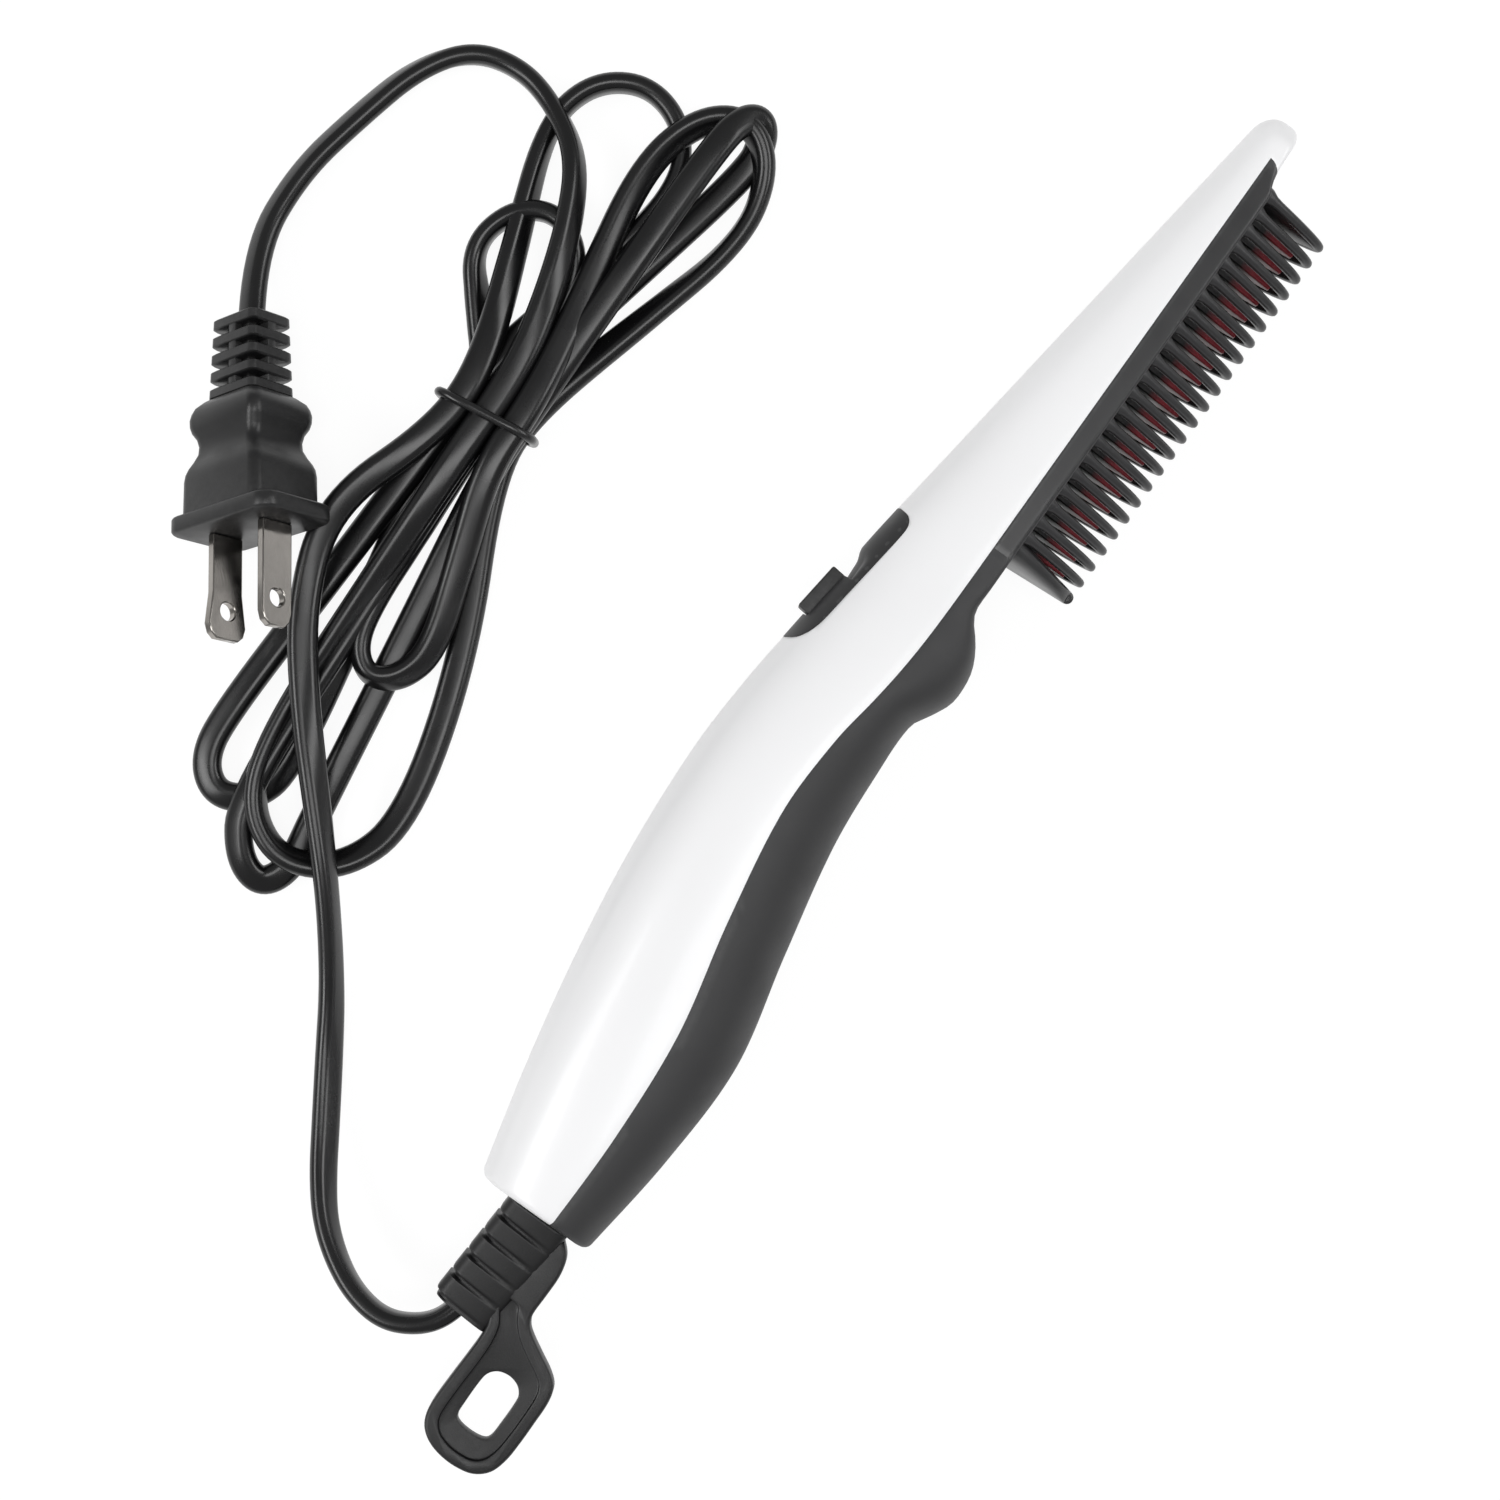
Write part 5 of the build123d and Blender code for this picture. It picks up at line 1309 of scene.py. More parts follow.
    def build_comb(self, place: CombFrame, palette: Palette) -> Object:
        """Builds the heated comb: a base plate and its tapered fins.

        Args:
            place: the comb's frame.
            palette: the finishes.

        Returns:
            The finished piece.
        """
        bm = bmesh.new()
        rear, front, window_half = self.housing.window
        gap, side = self.base_gap
        rounded_box(bm, (rear + gap, self.base_low, side - window_half),
                    (front - gap, self.base_low + self.base_height, window_half - side), self.base_edge)
        for x in self.spots()[1:-1]:
            verts = box(bm, (2 * self.fin_half, self.base_low - self.fin_end, 1.0),
                        (x, (self.base_low + self.fin_end) / 2, 0.0))
            for vert in verts:
                low = vert.co.y < 0
                vert.co.z = math.copysign(self.fin_tip if low else self.fin_root, vert.co.z)
                if low:
                    vert.co.x = x + (vert.co.x - x) * self.fin_taper
            round_edges(bm, edges_of(verts), self.fin_edge)
        place.settle(bm)
        return Piece("heated_comb", "comb_red", ("heat_comb",)).from_bmesh(bm, palette)


# ---------------------------------------------------------------- strain relief and loop
@dataclass
class StrainRelief:
    """The ribbed rubber relief at the butt and its flat hanging loop, one moulding.

    Attributes:
        tilt: of the relief's axis, degrees.
        root, end: width and depth of the relief at both ends.
        rib_share, groove: how much of a step is rib, and how deep the rest lies.
        end_inset: how far the outer end is drawn in, as a share of a groove.
        slit, flank: how deep a groove is, and how much thinner the relief is, at the loop.
        free_span, loop_span: where across it turns free of the loop, and thinner towards it.
        merge, merge_span: how far it moves into the loop, and where that starts and ends.
        face_gap: how far the relief stays off the butt's face.
        outline, recess, slot: the lines of the loop, of its sunk panel and of its opening.
        panel, edge, inner_edge: thickness of the sunk panel, radii of the outer and inner edges.
    """

    length: float = 21.4
    tilt: float = 4.6
    axis_height: float = 0.8
    root: Pair = (10.8, 9.6)
    end: Pair = (9.8, 7.2)
    ribs: int = 5
    rib_share: float = 0.74
    groove: float = 0.85
    corner: float = 2.2
    merge: float = 1.3
    slit: float = 0.3
    flank: float = 0.36
    rib_steepness: float = 4.0
    rib_rings: int = 20
    end_inset: float = 0.9
    free_span: Pair = (-0.35, 0.5)
    merge_span: Pair = (0.2, -0.2)
    loop_span: Pair = (0.0, -0.5)
    face_gap: float = 0.02
    per_corner: int = 9
    curve_steps: int = 5
    inner_edge: float = 0.35
    loop_thickness: float = 4.2
    panel: float = 2.4
    edge: float = 0.7
    outline: tuple[Pair, ...] = (
        (-1.1, -4.9), (-1.7, -6.4), (-3.6, -8.0), (-6.6, -8.75), (-10.5, -8.8), (-14.2, -8.75),
        (-16.0, -9.35), (-17.3, -10.7), (-19.2, -14.0), (-20.8, -16.9), (-22.6, -18.9),
        (-25.4, -19.65), (-29.5, -19.74),
        (-33.5, -19.74), (-37.3, -19.5), (-40.4, -18.5), (-42.4, -16.3), (-43.15, -13.4), (-43.15, -10.2),
        (-42.4, -7.2), (-40.9, -5.0), (-38.8, -3.8), (-36.0, -3.4), (-31.0, -3.45), (-26.5, -3.6),
        (-22.5, -3.6), (-19.6, -3.1), (-17.6, -1.4), (-15.8, 0.4), (-12.5, 1.0), (-6.0, 1.0), (-1.1, 1.0),
    )
    recess: tuple[Pair, ...] = (
        (-14.4, -4.4), (-14.7, -5.9), (-15.9, -6.7), (-17.3, -7.6), (-19.2, -9.6), (-21.2, -12.9),
        (-22.7, -15.6), (-23.9, -16.8), (-25.8, -17.4), (-29.5, -17.55), (-33.4, -17.5), (-36.8, -17.2),
        (-39.1, -16.4), (-40.4, -15.0), (-40.9, -13.1), (-40.9, -10.5), (-40.3, -8.2), (-39.3, -6.8),
        (-38.0, -6.0), (-35.9, -5.7), (-31.0, -5.75), (-26.5, -5.9), (-22.3, -5.8), (-19.2, -5.1),
        (-17.0, -3.7), (-15.5, -3.1), (-14.6, -3.4),
    )
    slot: tuple[Pair, ...] = (
        (-25.4, -11.6), (-25.9, -9.6), (-27.3, -8.35), (-29.4, -8.05), (-33.0, -8.05), (-35.6, -8.2),
        (-36.7, -9.1), (-37.05, -11.6), (-36.7, -14.1), (-35.6, -15.0), (-33.0, -15.15), (-29.4, -15.15),
        (-27.3, -14.85), (-25.9, -13.6),
    )

    def rib_profile(self, share: float) -> float:
        """How far the surface is drawn in at a share of the length: 0 on a rib, 1 in a groove."""
        step = (share * self.ribs) % 1.0
        if step < self.rib_share:
            return 0.0
        past = (step - self.rib_share) / (1 - self.rib_share)
        return min(1.0, self.rib_steepness * past, self.rib_steepness * (1 - past))

    def sheath(self, bm: BMesh) -> None:
        """Adds the ribbed sheath round the cord.

        Args:
            bm: the mesh in the making, in the side view.
        """
        tilt = math.radians(self.tilt)
        rings = []
        steps = self.ribs * self.rib_rings
        for index in range(steps + 1):
            share = index / steps
            inset = self.groove * (self.rib_profile(share) if index < steps else self.end_inset)
            width = self.root[0] + (self.end[0] - self.root[0]) * share
            depth = self.root[1] + (self.end[1] - self.root[1]) * share
            along = -share * self.length
            ring_points = []
            for across, up in rounded_rectangle(width, depth, self.corner, self.per_corner):
                free = smooth_step(*self.free_span, across / width)
                sunk = inset * (self.slit + (1 - self.slit) * free)
                merged = self.merge * smooth_step(*self.merge_span, across)
                across -= math.copysign(sunk, across) * free + merged
                thinner = 1 - self.flank * smooth_step(*self.loop_span, across / width)
                up *= (1 - 2 * sunk / depth) * thinner
                x = along * math.cos(tilt) + across * math.sin(tilt)
                y = self.axis_height - along * math.sin(tilt) + across * math.cos(tilt)
                ring_points.append(Vector((min(x, -self.face_gap), y, up)))
            rings.append(ring_points)
        skin(bm, rings)

    @staticmethod
    def through(points: Sequence[Pair], steps: int) -> list[Pair]:
        """A closed smooth curve through points.

        Args:
            points: the points.
            steps: number of points on the curve for each of them.

        Returns:
            The points of the curve.
        """
        count = len(points)
        curve = []
        for index in range(count):
            p0, p1, p2, p3 = (Vector(points[(index + shift) % count]) for shift in (-1, 0, 1, 2))
            for step in range(steps):
                t = step / steps
                point = 0.5 * (2 * p1 + (p2 - p0) * t + (2 * p0 - 5 * p1 + 4 * p2 - p3) * t ** 2
                               + (3 * p1 - p0 - 3 * p2 + p3) * t ** 3)
                curve.append((point.x, point.y))
        return curve

    def slab_object(self, outline: Sequence[Pair], low: float, high: float, round_off: float,
                    place: CombFrame) -> Object:
        """A loose solid with a smooth outline between two heights, used to shape the loop.

        Args:
            outline: points that its edge runs through.
            low, high: its two heights.
            round_off: radius of its upper and lower edges.
            place: the comb's frame.

        Returns:
            The loose solid.
        """
        bm = bmesh.new()
        bm.faces.new([bm.verts.new((x, y, low)) for x, y in self.through(outline, self.curve_steps)])
        thicken(bm, (0, 0, high - low))
        if round_off > 0:
            rims = [edge for edge in bm.edges
                    if abs(edge.verts[0].co.z - edge.verts[1].co.z) < SAME_HEIGHT]
            round_edges(bm, rims, round_off, 3, clamp=True)
        bmesh.ops.recalc_face_normals(bm, faces=bm.faces[:])
        place.settle(bm)
        return loose_object(bm, "loop_form")

    def build(self, place: CombFrame, palette: Palette) -> Object:
        """Builds the relief and its loop.

        Args:
            place: the comb's frame.
            palette: the finishes.

        Returns:
            The finished piece.
        """
        half, panel = self.loop_thickness / 2, self.panel / 2
        loop = self.slab_object(self.outline, -half, half, self.edge, place)
        cutters = [self.slab_object(self.recess, panel, 2 * half, 0.0, place),
                   self.slab_object(self.recess, -2 * half, -panel, 0.0, place),
                   self.slab_object(self.slot, -2 * half, 2 * half, 0.0, place)]
        for cutter in cutters:
            add_modifier(loop, "BOOLEAN", object=cutter, operation="DIFFERENCE", solver="EXACT")
        soften(loop, self.inner_edge)
        apply_modifiers(loop)
        for cutter in cutters:
            bpy.data.objects.remove(cutter)
        bm = bmesh.new()
        self.sheath(bm)
        place.settle(bm)
        piece = Piece("strain_relief_loop", "relief_rubber", ("strain_relief",), crease=40)
        return piece.joined(bm, loop, palette)


# ---------------------------------------------------------------- cord, hank and tie
@dataclass(frozen=True)
class Knot:
    """One control point of the cord.

    Attributes:
        x, y, z: its place in the row frame, mm.
        roll: 0 where the cord lies flat, 90 where it stands on its edge, degrees.
    """

    x: float
    y: float
    z: float
    roll: float = 0.0


@dataclass(frozen=True)
class Loop:
    """Half a turn of the hank, from the tie round its far end and back.

    Attributes:
        side: the side of the tie that it lies on.
        centre: middle of its rounded end, mm.
        along, across: half sizes of that end.
        lean: its turn towards +Y, degrees.
        heights: height of the cord where it enters the end, at its far point, and where it leaves it.
        sense: 1 if it runs round from its +Y side, -1 if from the other.
        rolls: how far the cord stands on its edge, at the same three places.
        bow: how far its first run, then its second, bows outwards.
    """

    side: Side
    centre: Pair
    along: float
    across: float
    lean: float
    heights: Triple
    sense: int = 1
    rolls: Triple = (90, 90, 90)
    bow: Pair = (0, 0)


@dataclass
class Cord:
    """The flat two-core cord: the lead, the tied hank and the tail, one line from end to end.

    Attributes:
        real_length: length of the real cord, metres.
        exit_point: where it leaves the strain relief.
        tie_x, tie_y, tie_rod: the tie's middle and the radius of its rod.
        tie_bite, tie_lift, tie_slant: how deep and how high it sits, and how far it leans.
        bundle, waist: the bundle's width and height inside it, and half its length there.
        layer, column, first_layer: spacing of the runs through the tie, and the lowest's height.
        middle_pull: how near a half-way point's height lies to its loop's end.
        lead, tail: control points before and after the hank.
        loops, slots: the half turns, and the columns and layers of the runs between them.
    """

    width: float = 5.3
    thickness: float = 3.4
    real_length: float = 1.5
    exit_point: Triple = (-112.1, -0.1, 14.0)
    tie_x: float = 14.9
    tie_y: float = 84.9
    tie_rod: float = 0.85
    bundle: Pair = (16.4, 9.9)
    tie_bite: float = 0.05
    tie_lift: float = 0.4
    tie_slant: float = 0.14
    tie_fullness: float = 4.0
    tie_steps: int = 72
    rod_steps: int = 12
    section_steps: int = 8
    smoothness: int = 10
    waist: float = 7.0
    layer: float = 3.45
    column: float = 5.35
    first_layer: float = 2.85
    end_points: int = 5
    middle_pull: float = 0.75
    lead: list[Knot] = field(default_factory=lambda: [
        Knot(-110.8, -0.25, 14.0, 85), Knot(-114.2, 0.3, 13.9, 88), Knot(-118.4, 3.3, 13.2, 90),
        Knot(-121.5, 8.8, 12.0, 90), Knot(-121.0, 15.4, 10.7, 88), Knot(-118.3, 21.6, 9.2, 80),
        Knot(-114.2, 27.2, 7.5, 65), Knot(-108.4, 32.0, 5.8, 50), Knot(-102.0, 36.3, 4.4, 42),
        Knot(-92.0, 42.9, 3.3, 45), Knot(-81.0, 49.8, 4.4, 65), Knot(-68.2, 59.2, 8.3, 75),
        Knot(-57.0, 69.0, 10.2, 50), Knot(-44.5, 80.5, 10.4, 20), Knot(-30.0, 91.8, 10.2, 5),
        Knot(-13.0, 98.0, 9.8, 25),
    ])
    tail: list[Knot] = field(default_factory=lambda: [
        Knot(32.0, 86.3, 9.8, 10), Knot(47.5, 91.0, 9.4, 40), Knot(60.4, 97.8, 7.4, 70),
        Knot(66.0, 107.2, 4.4, 88), Knot(68.3, 116.0, 2.85, 88), Knot(65.8, 124.9, 2.8, 85),
        Knot(57.3, 131.0, 2.6, 60), Knot(45.4, 134.2, 2.5, 50), Knot(31.0, 137.0, 3.0, 50),
        Knot(15.09, 135.4, 3.63, 45), Knot(4.2, 127.4, 6.6, 39),
    ])
    loops: list[Loop] = field(default_factory=lambda: [
        Loop(Side.NOSE, (64.5, 94.0), 13.6, 12.0, 8, (2.9, 2.9, 2.85), 1),
        Loop(Side.BUTT, (-55.0, 85.2), 10.4, 7.0, 4, (2.3, 2.2, 2.6), 1, (15, 20, 45)),
        Loop(Side.NOSE, (38.5, 95.2), 11.8, 9.2, 4, (2.8, 5.2, 4.0), 1),
        Loop(Side.BUTT, (-61.5, 75.6), 13.0, 6.0, -22, (6.0, 3.0, 2.0), 1, (30, 22, 10)),
        Loop(Side.NOSE, (77.0, 76.4), 7.2, 2.9, 0, (9.4, 5.6, 2.0), 1, (0, 0, 0)),
        Loop(Side.BUTT, (-23.5, 75.6), 9.6, 6.0, 0, (5.0, 5.0, 5.0), 1, (85, 70, 25)),
        Loop(Side.NOSE, (66.0, 77.6), 16.3, 9.9, 0, (5.6, 6.4, 2.9), 1, (40, 60, 80)),
        Loop(Side.BUTT, (-50.5, 69.9), 17.0, 13.0, 0, (2.6, 5.9, 6.3), -1, (10, 70, 85), (3.4, 0.0)),
    ])
    slots: list[tuple[int, int]] = field(default_factory=lambda: [
        (1, 2), (1, 1), (1, 0), (0, 1), (-1, 1), (0, 0), (-1, 2), (-1, 0), (0, 2),
    ])

    def passing(self, slot: tuple[int, int], side: int) -> list[Knot]:
        """The two points of a run through the tie, coming from one side.

        Args:
            slot: its column and its layer in the bundle.
            side: 1 if it runs towards the nose, -1 if towards the butt.

        Returns:
            The points before and after the tie.
        """
        y = self.tie_y + slot[0] * self.column
        z = self.first_layer + slot[1] * self.layer
        return [Knot(self.tie_x - side * self.waist, y, z), Knot(self.tie_x + side * self.waist, y, z)]

    def end_of(self, loop: Loop) -> list[Knot]:
        """The control points round a loop's far end.

        Args:
            loop: the loop.

        Returns:
            The points in the cord's order, a little outside the curve that they pull out.
        """
        step = math.pi / (self.end_points - 1)
        outwards = 1 / (0.75 + 0.25 * math.cos(step))
        lean = math.radians(loop.lean) * loop.side.value
        knots = []
        for index in range(self.end_points):
            angle = math.pi / 2 - step * index
            a = loop.along * outwards * math.cos(angle) * loop.side.value
            b = loop.across * outwards * math.sin(angle) * loop.sense
            x = loop.centre[0] + a * math.cos(lean) - b * math.sin(lean)
            y = loop.centre[1] + a * math.sin(lean) + b * math.cos(lean)
            share = index / (self.end_points - 1)
            knots.append(Knot(x, y, self.between(loop.heights, share), self.between(loop.rolls, share)))
        return knots

    @staticmethod
    def between(values: Triple, share: float) -> float:
        """The value at a share of the way from the first of three values to the last."""
        start, middle, end = values
        if share < 0.5:
            return start + (middle - start) * 2 * share
        return middle + (end - middle) * (2 * share - 1)

    def half_way(self, a: Knot, b: Knot, bow: float) -> Knot:
        """A point between a tie's slot and a loop's end, moved sideways by a bow, its height nearer b's."""
        z = a.z + (b.z - a.z) * self.middle_pull
        return Knot((a.x + b.x) / 2, (a.y + b.y) / 2 + bow, z, (a.roll + b.roll) / 2)

    def route(self) -> list[Knot]:
        """All the control points, from the strain relief to the plug."""
        knots = list(self.lead)
        direction = 1
        for slot, loop in zip(self.slots, self.loops):
            knots += self.passing(slot, direction)
            end = self.end_of(loop)
            knots.append(self.half_way(knots[-1], end[0], loop.bow[0] * loop.sense))
            knots += end
            next_slot = self.slots[self.slots.index(slot) + 1]
            entering = self.passing(next_slot, -direction)[0]
            knots.append(self.half_way(entering, end[-1], -loop.bow[1] * loop.sense))
            direction = -direction
        knots += self.passing(self.slots[-1], direction)
        return knots + self.tail

    @staticmethod
    def curve(name: str, dimensions: str, kind: str, points: Sequence[Triple]) -> tuple[Curve, Spline]:
        """Makes a curve with one line, POLY or NURBS, on control points in mm, and returns both."""
        curve = bpy.data.curves.new(name, "CURVE")
        curve.dimensions = dimensions
        spline = curve.splines.new(kind)
        spline.points.add(len(points) - 1)
        for point, place in zip(spline.points, points):
            point.co = (*(value * MM for value in place), 1.0)
        return curve, spline

    def section(self) -> Object:
        """The cord's flat section, a closed curve that is never shown itself."""
        straight = (self.width - self.thickness) / 2
        radius = self.thickness / 2
        points = []
        for side in (1, -1):
            for step in range(self.section_steps + 1):
                angle = -math.pi / 2 + math.pi * step / self.section_steps
                across = straight + radius * math.cos(angle)
                points.append((side * across, side * radius * math.sin(angle)))
        curve, spline = self.curve("cord_section", "2D", "POLY", [(x, y, 0.0) for x, y in points])
        spline.use_cyclic_u = True
        made = linked("cord_section", curve)
        made.hide_render = True
        return made

    def build(self, palette: Palette) -> Object:
        """Builds the cord as one smooth curve.

        Args:
            palette: the finishes.

        Returns:
            The finished cord.
        """
        knots = self.route()
        curve, spline = self.curve("flat_cord", "3D", "NURBS", [(knot.x, knot.y, knot.z) for knot in knots])
        curve.twist_mode = "Z_UP"
        curve.resolution_u = self.smoothness
        curve.bevel_mode = "OBJECT"
        curve.bevel_object = self.section()
        curve.use_fill_caps = True
        for point, knot in zip(spline.points, knots):
            point.tilt = math.radians(knot.roll)
        spline.order_u = 3
        spline.use_endpoint_u = True
        spline.use_smooth = True
        cord = linked("flat_cord", curve)
        Piece("flat_cord", "cord_pvc", ("cord_lead", "cord_hank", "cord_tail")).dress(cord, palette)
        log.info("flat_cord: %d control points", len(knots))
        return cord

    def build_tie(self, palette: Palette) -> Object:
        """Builds the round elastic ring that ties the hank.

        Args:
            palette: the finishes.

        Returns:
            The finished tie.
        """
        bm = bmesh.new()
        steps = self.tie_steps
        grow = self.tie_rod - self.tie_bite
        path = superellipse(self.bundle[0] + 2 * grow, self.bundle[1] + 2 * grow, self.tie_fullness, steps)
        turns = [2 * math.pi * step / self.rod_steps for step in range(self.rod_steps)]
        rings = []
        for index, (across, up) in enumerate(path):
            ahead, behind = Vector(path[(index + 1) % steps]), Vector(path[index - 1])
            along = (ahead - behind).normalized()
            slant = self.tie_x - self.tie_slant * across
            centre = Vector((slant, self.tie_y + across, self.first_layer + self.layer + self.tie_lift + up))
            ahead_x, outwards = Vector((1, 0, 0)), Vector((0.0, along.y, -along.x))
            rings.append([centre + self.tie_rod * (ahead_x * math.cos(turn) + outwards * math.sin(turn))
                          for turn in turns])
        loops = [ring(bm, points) for points in rings]
        for before, after in zip(loops, loops[1:] + loops[:1]):
            bmesh.ops.bridge_loops(bm, edges=before + after)
        bmesh.ops.scale(bm, vec=(MM, MM, MM), verts=bm.verts[:])
        return Piece("hank_tie", "tie_pvc", ("cord_tie",)).from_bmesh(bm, palette)


# ---------------------------------------------------------------- plug
@dataclass
class Plug:
    """The moulded plug with its ribbed relief and two flat blades.

    Attributes:
        start: where the relief's outer end lies in the row frame.
        heading, raised, roll: turn of the axis, its rise and the turn about it, degrees.
        relief, relief_reach: the relief's length, and how far its last rib goes past it.
        rib_size, rib_corner, rib_inset, rib_edge: width and depth of a rib, and its rounding.
        core, rib_gap: size and corner of the core between the ribs, and its gap to them.
        post: half thickness of the posts in the grooves, and how far they stay inside the ribs.
        flange: its width, depth and thickness.
        flange_rim: inset, step from the face and corner radius of the rim's rings.
        grip: distance, width, depth and corner radius of the body's rings.
        wide_tip: width of the wide blade near its tip.
        blade_widens: the share of a blade's length where it starts to widen.
        blade_tip: steps from the tip and insets from its width of a side's last points.
    """

    start: Triple = (5.0, 128.0, 6.4)
    heading: float = 217.4
    raised: float = 12.3
    roll: float = 39.0
    relief: float = 15.4
    relief_ribs: int = 5
    relief_reach: float = 0.4
    rib_length: float = 2.0
    rib_size: Pair = (11.0, 8.9)
    rib_corner: float = 1.3
    rib_inset: float = 0.35
    rib_edge: float = 0.3
    rib_gap: float = 0.02
    core: Triple = (6.4, 5.6, 1.2)
    post: Pair = (0.9, 0.1)
    post_start: float = 0.5
    post_edge: float = 0.2
    per_corner: int = 8
    flange_start: float = 34.9
    flange: Triple = (26.0, 16.0, 3.0)
    flange_rim: tuple[Triple, ...] = ((1.0, 0.0, 2.6), (0.3, 0.2, 3.0), (0.0, 0.5, 3.0))
    grip: tuple[Quad, ...] = (
        (14.6, 12.2, 9.8, 1.6), (15.1, 13.8, 11.2, 1.8), (16.2, 16.4, 13.2, 2.0),
        (17.2, 17.5, 13.8, 2.0), (18.2, 18.0, 14.1, 2.0), (19.4, 17.9, 14.0, 2.0),
        (20.4, 17.3, 13.6, 2.0), (21.6, 15.9, 12.5, 2.0), (23.0, 15.3, 12.0, 2.0),
        (24.4, 15.5, 12.2, 2.0), (25.8, 16.8, 13.2, 2.0), (27.0, 18.3, 14.2, 2.0),
        (28.0, 19.2, 14.7, 2.0), (29.2, 19.6, 14.9, 2.0), (35.2, 19.8, 15.0, 2.0),
    )
    blade_length: float = 18.4
    blade_width: float = 6.35
    wide_tip: float = 7.9
    blade_thickness: float = 1.5
    spacing: float = 12.7
    hole_radius: float = 1.6
    hole_from_tip: float = 5.0
    hole_steps: int = 28
    blade_widens: float = 0.55
    blade_tip: tuple[Pair, ...] = ((2.5, 0.0), (0.9, 0.5), (0.0, 1.6))
    blade_edge: float = 0.22
    blade_angle: float = 50.0

    def matrix(self) -> Matrix:
        """The plug's frame: z along its axis, x from one blade to the other; mm to metres."""
        heading, raised = math.radians(self.heading), math.radians(self.raised)
        roll = math.radians(self.roll)
        axis = Vector((math.cos(heading) * math.cos(raised), math.sin(heading) * math.cos(raised),
                       math.sin(raised)))
        level = Vector((math.sin(heading), -math.cos(heading), 0.0))
        upright = axis.cross(level)
        if upright.z < 0:
            upright.negate()
        across = level * math.cos(roll) - upright * math.sin(roll)
        third = axis.cross(across)
        turn = Matrix((across, third, axis)).transposed().to_4x4()
        return Matrix.Translation(Vector(self.start) * MM) @ turn @ Matrix.Scale(MM, 4)

    def rings(self, rows: Sequence[Quad]) -> list[list[Vector]]:
        """Rings through rows of distance, width, depth and corner radius."""
        return [[Vector((a, b, distance))
                 for a, b in rounded_rectangle(width, depth, radius, self.per_corner)]
                for distance, width, depth, radius in rows]

    def relief_rows(self) -> list[Quad]:
        """The ribbed relief: ribs that grow towards the body, with deep grooves cut to a slim core."""
        rows = [(0.0, *self.core)]
        wide, deep = self.rib_size
        rib, edge, gap = self.rib_length, self.rib_edge, self.rib_gap
        pitch = (self.relief + self.relief_reach) / self.relief_ribs
        form = ((0.0, self.rib_inset), (edge, 0.0), (rib - edge, 0.0), (rib, self.rib_inset))
        for index in range(self.relief_ribs):
            low = index * pitch
            for along, inset in form:
                grow = (low + along) / self.relief
                rows.append((low + along + gap, wide + grow - 2 * inset, deep + grow - 2 * inset,
                             self.rib_corner))
            if index < self.relief_ribs - 1:
                rows += [(low + rib + 2 * gap, *self.core), (low + pitch - gap, *self.core)]
        return rows

    def flange_rows(self) -> list[Quad]:
        """The flange with its rounded rim."""
        width, depth, thick = self.flange
        low, high = self.flange_start, self.flange_start + thick
        rear = [(low + step, width - inset, depth - inset, corner)
                for inset, step, corner in self.flange_rim]
        face = [(high - step, width - inset, depth - inset, corner)
                for inset, step, corner in reversed(self.flange_rim)]
        return rear + face

    def build_body(self, palette: Palette) -> Object:
        """Builds the moulded body.

        Args:
            palette: the finishes.

        Returns:
            The finished body.
        """
        bm = bmesh.new()
        for rows in (self.relief_rows(), self.grip, self.flange_rows()):
            skin(bm, self.rings(rows))
        half, sunk = self.post
        wide, deep = (size / 2 - sunk for size in self.rib_size)
        for across, up in ((wide, half), (half, deep)):
            rounded_box(bm, (-across, -up, self.post_start), (across, up, self.relief), self.post_edge)
        bmesh.ops.transform(bm, matrix=self.matrix(), verts=bm.verts[:])
        return Piece("plug_moulding", "plug_pvc", ("plug_body",), crease=38).from_bmesh(bm, palette)

    def build_blade(self, side: int, tip_width: float, name: str, node: str,
                    palette: Palette) -> Object:
        """Builds one blade with its hole.

        Args:
            side: 1 or -1, the side of the plug's face.
            tip_width: width near its tip.
            name: the piece's name.
            node: the CAD node that it stands for.
            palette: the finishes.

        Returns:
            The finished blade.
        """
        bm = bmesh.new()
        half, flare, length = self.blade_width / 2, tip_width / 2, self.blade_length
        hole = length - self.hole_from_tip
        sides = [(0.0, half), (length * self.blade_widens, half)]
        sides += [(length - before, flare - inset) for before, inset in self.blade_tip]
        outline = sides + [(along, -across) for along, across in reversed(sides)]
        outer = [bm.verts.new((0.0, across, along)) for along, across in outline]
        outer_edges = [bm.edges.new((a, b)) for a, b in zip(outer, outer[1:] + outer[:1])]
        upright = Matrix.Translation((0, 0, hole)) @ Matrix.Rotation(math.pi / 2, 4, "Y")
        circle = bmesh.ops.create_circle(bm, cap_ends=False, segments=self.hole_steps,
                                         radius=self.hole_radius, matrix=upright)
        inner_edges = edges_of(circle["verts"])
        bmesh.ops.triangle_fill(bm, use_beauty=True, edges=outer_edges + inner_edges)
        bmesh.ops.translate(bm, vec=(-self.blade_thickness / 2, 0, 0), verts=bm.verts[:])
        thicken(bm, (self.blade_thickness, 0, 0))
        shift = (side * self.spacing / 2, 0, self.flange_start + self.flange[2])
        bmesh.ops.translate(bm, vec=shift, verts=bm.verts[:])
        bmesh.ops.transform(bm, matrix=self.matrix(), verts=bm.verts[:])
        blade = Piece(name, "blade_nickel", (node,)).from_bmesh(bm, palette)
        soften(blade, self.blade_edge, self.blade_angle)
        return blade


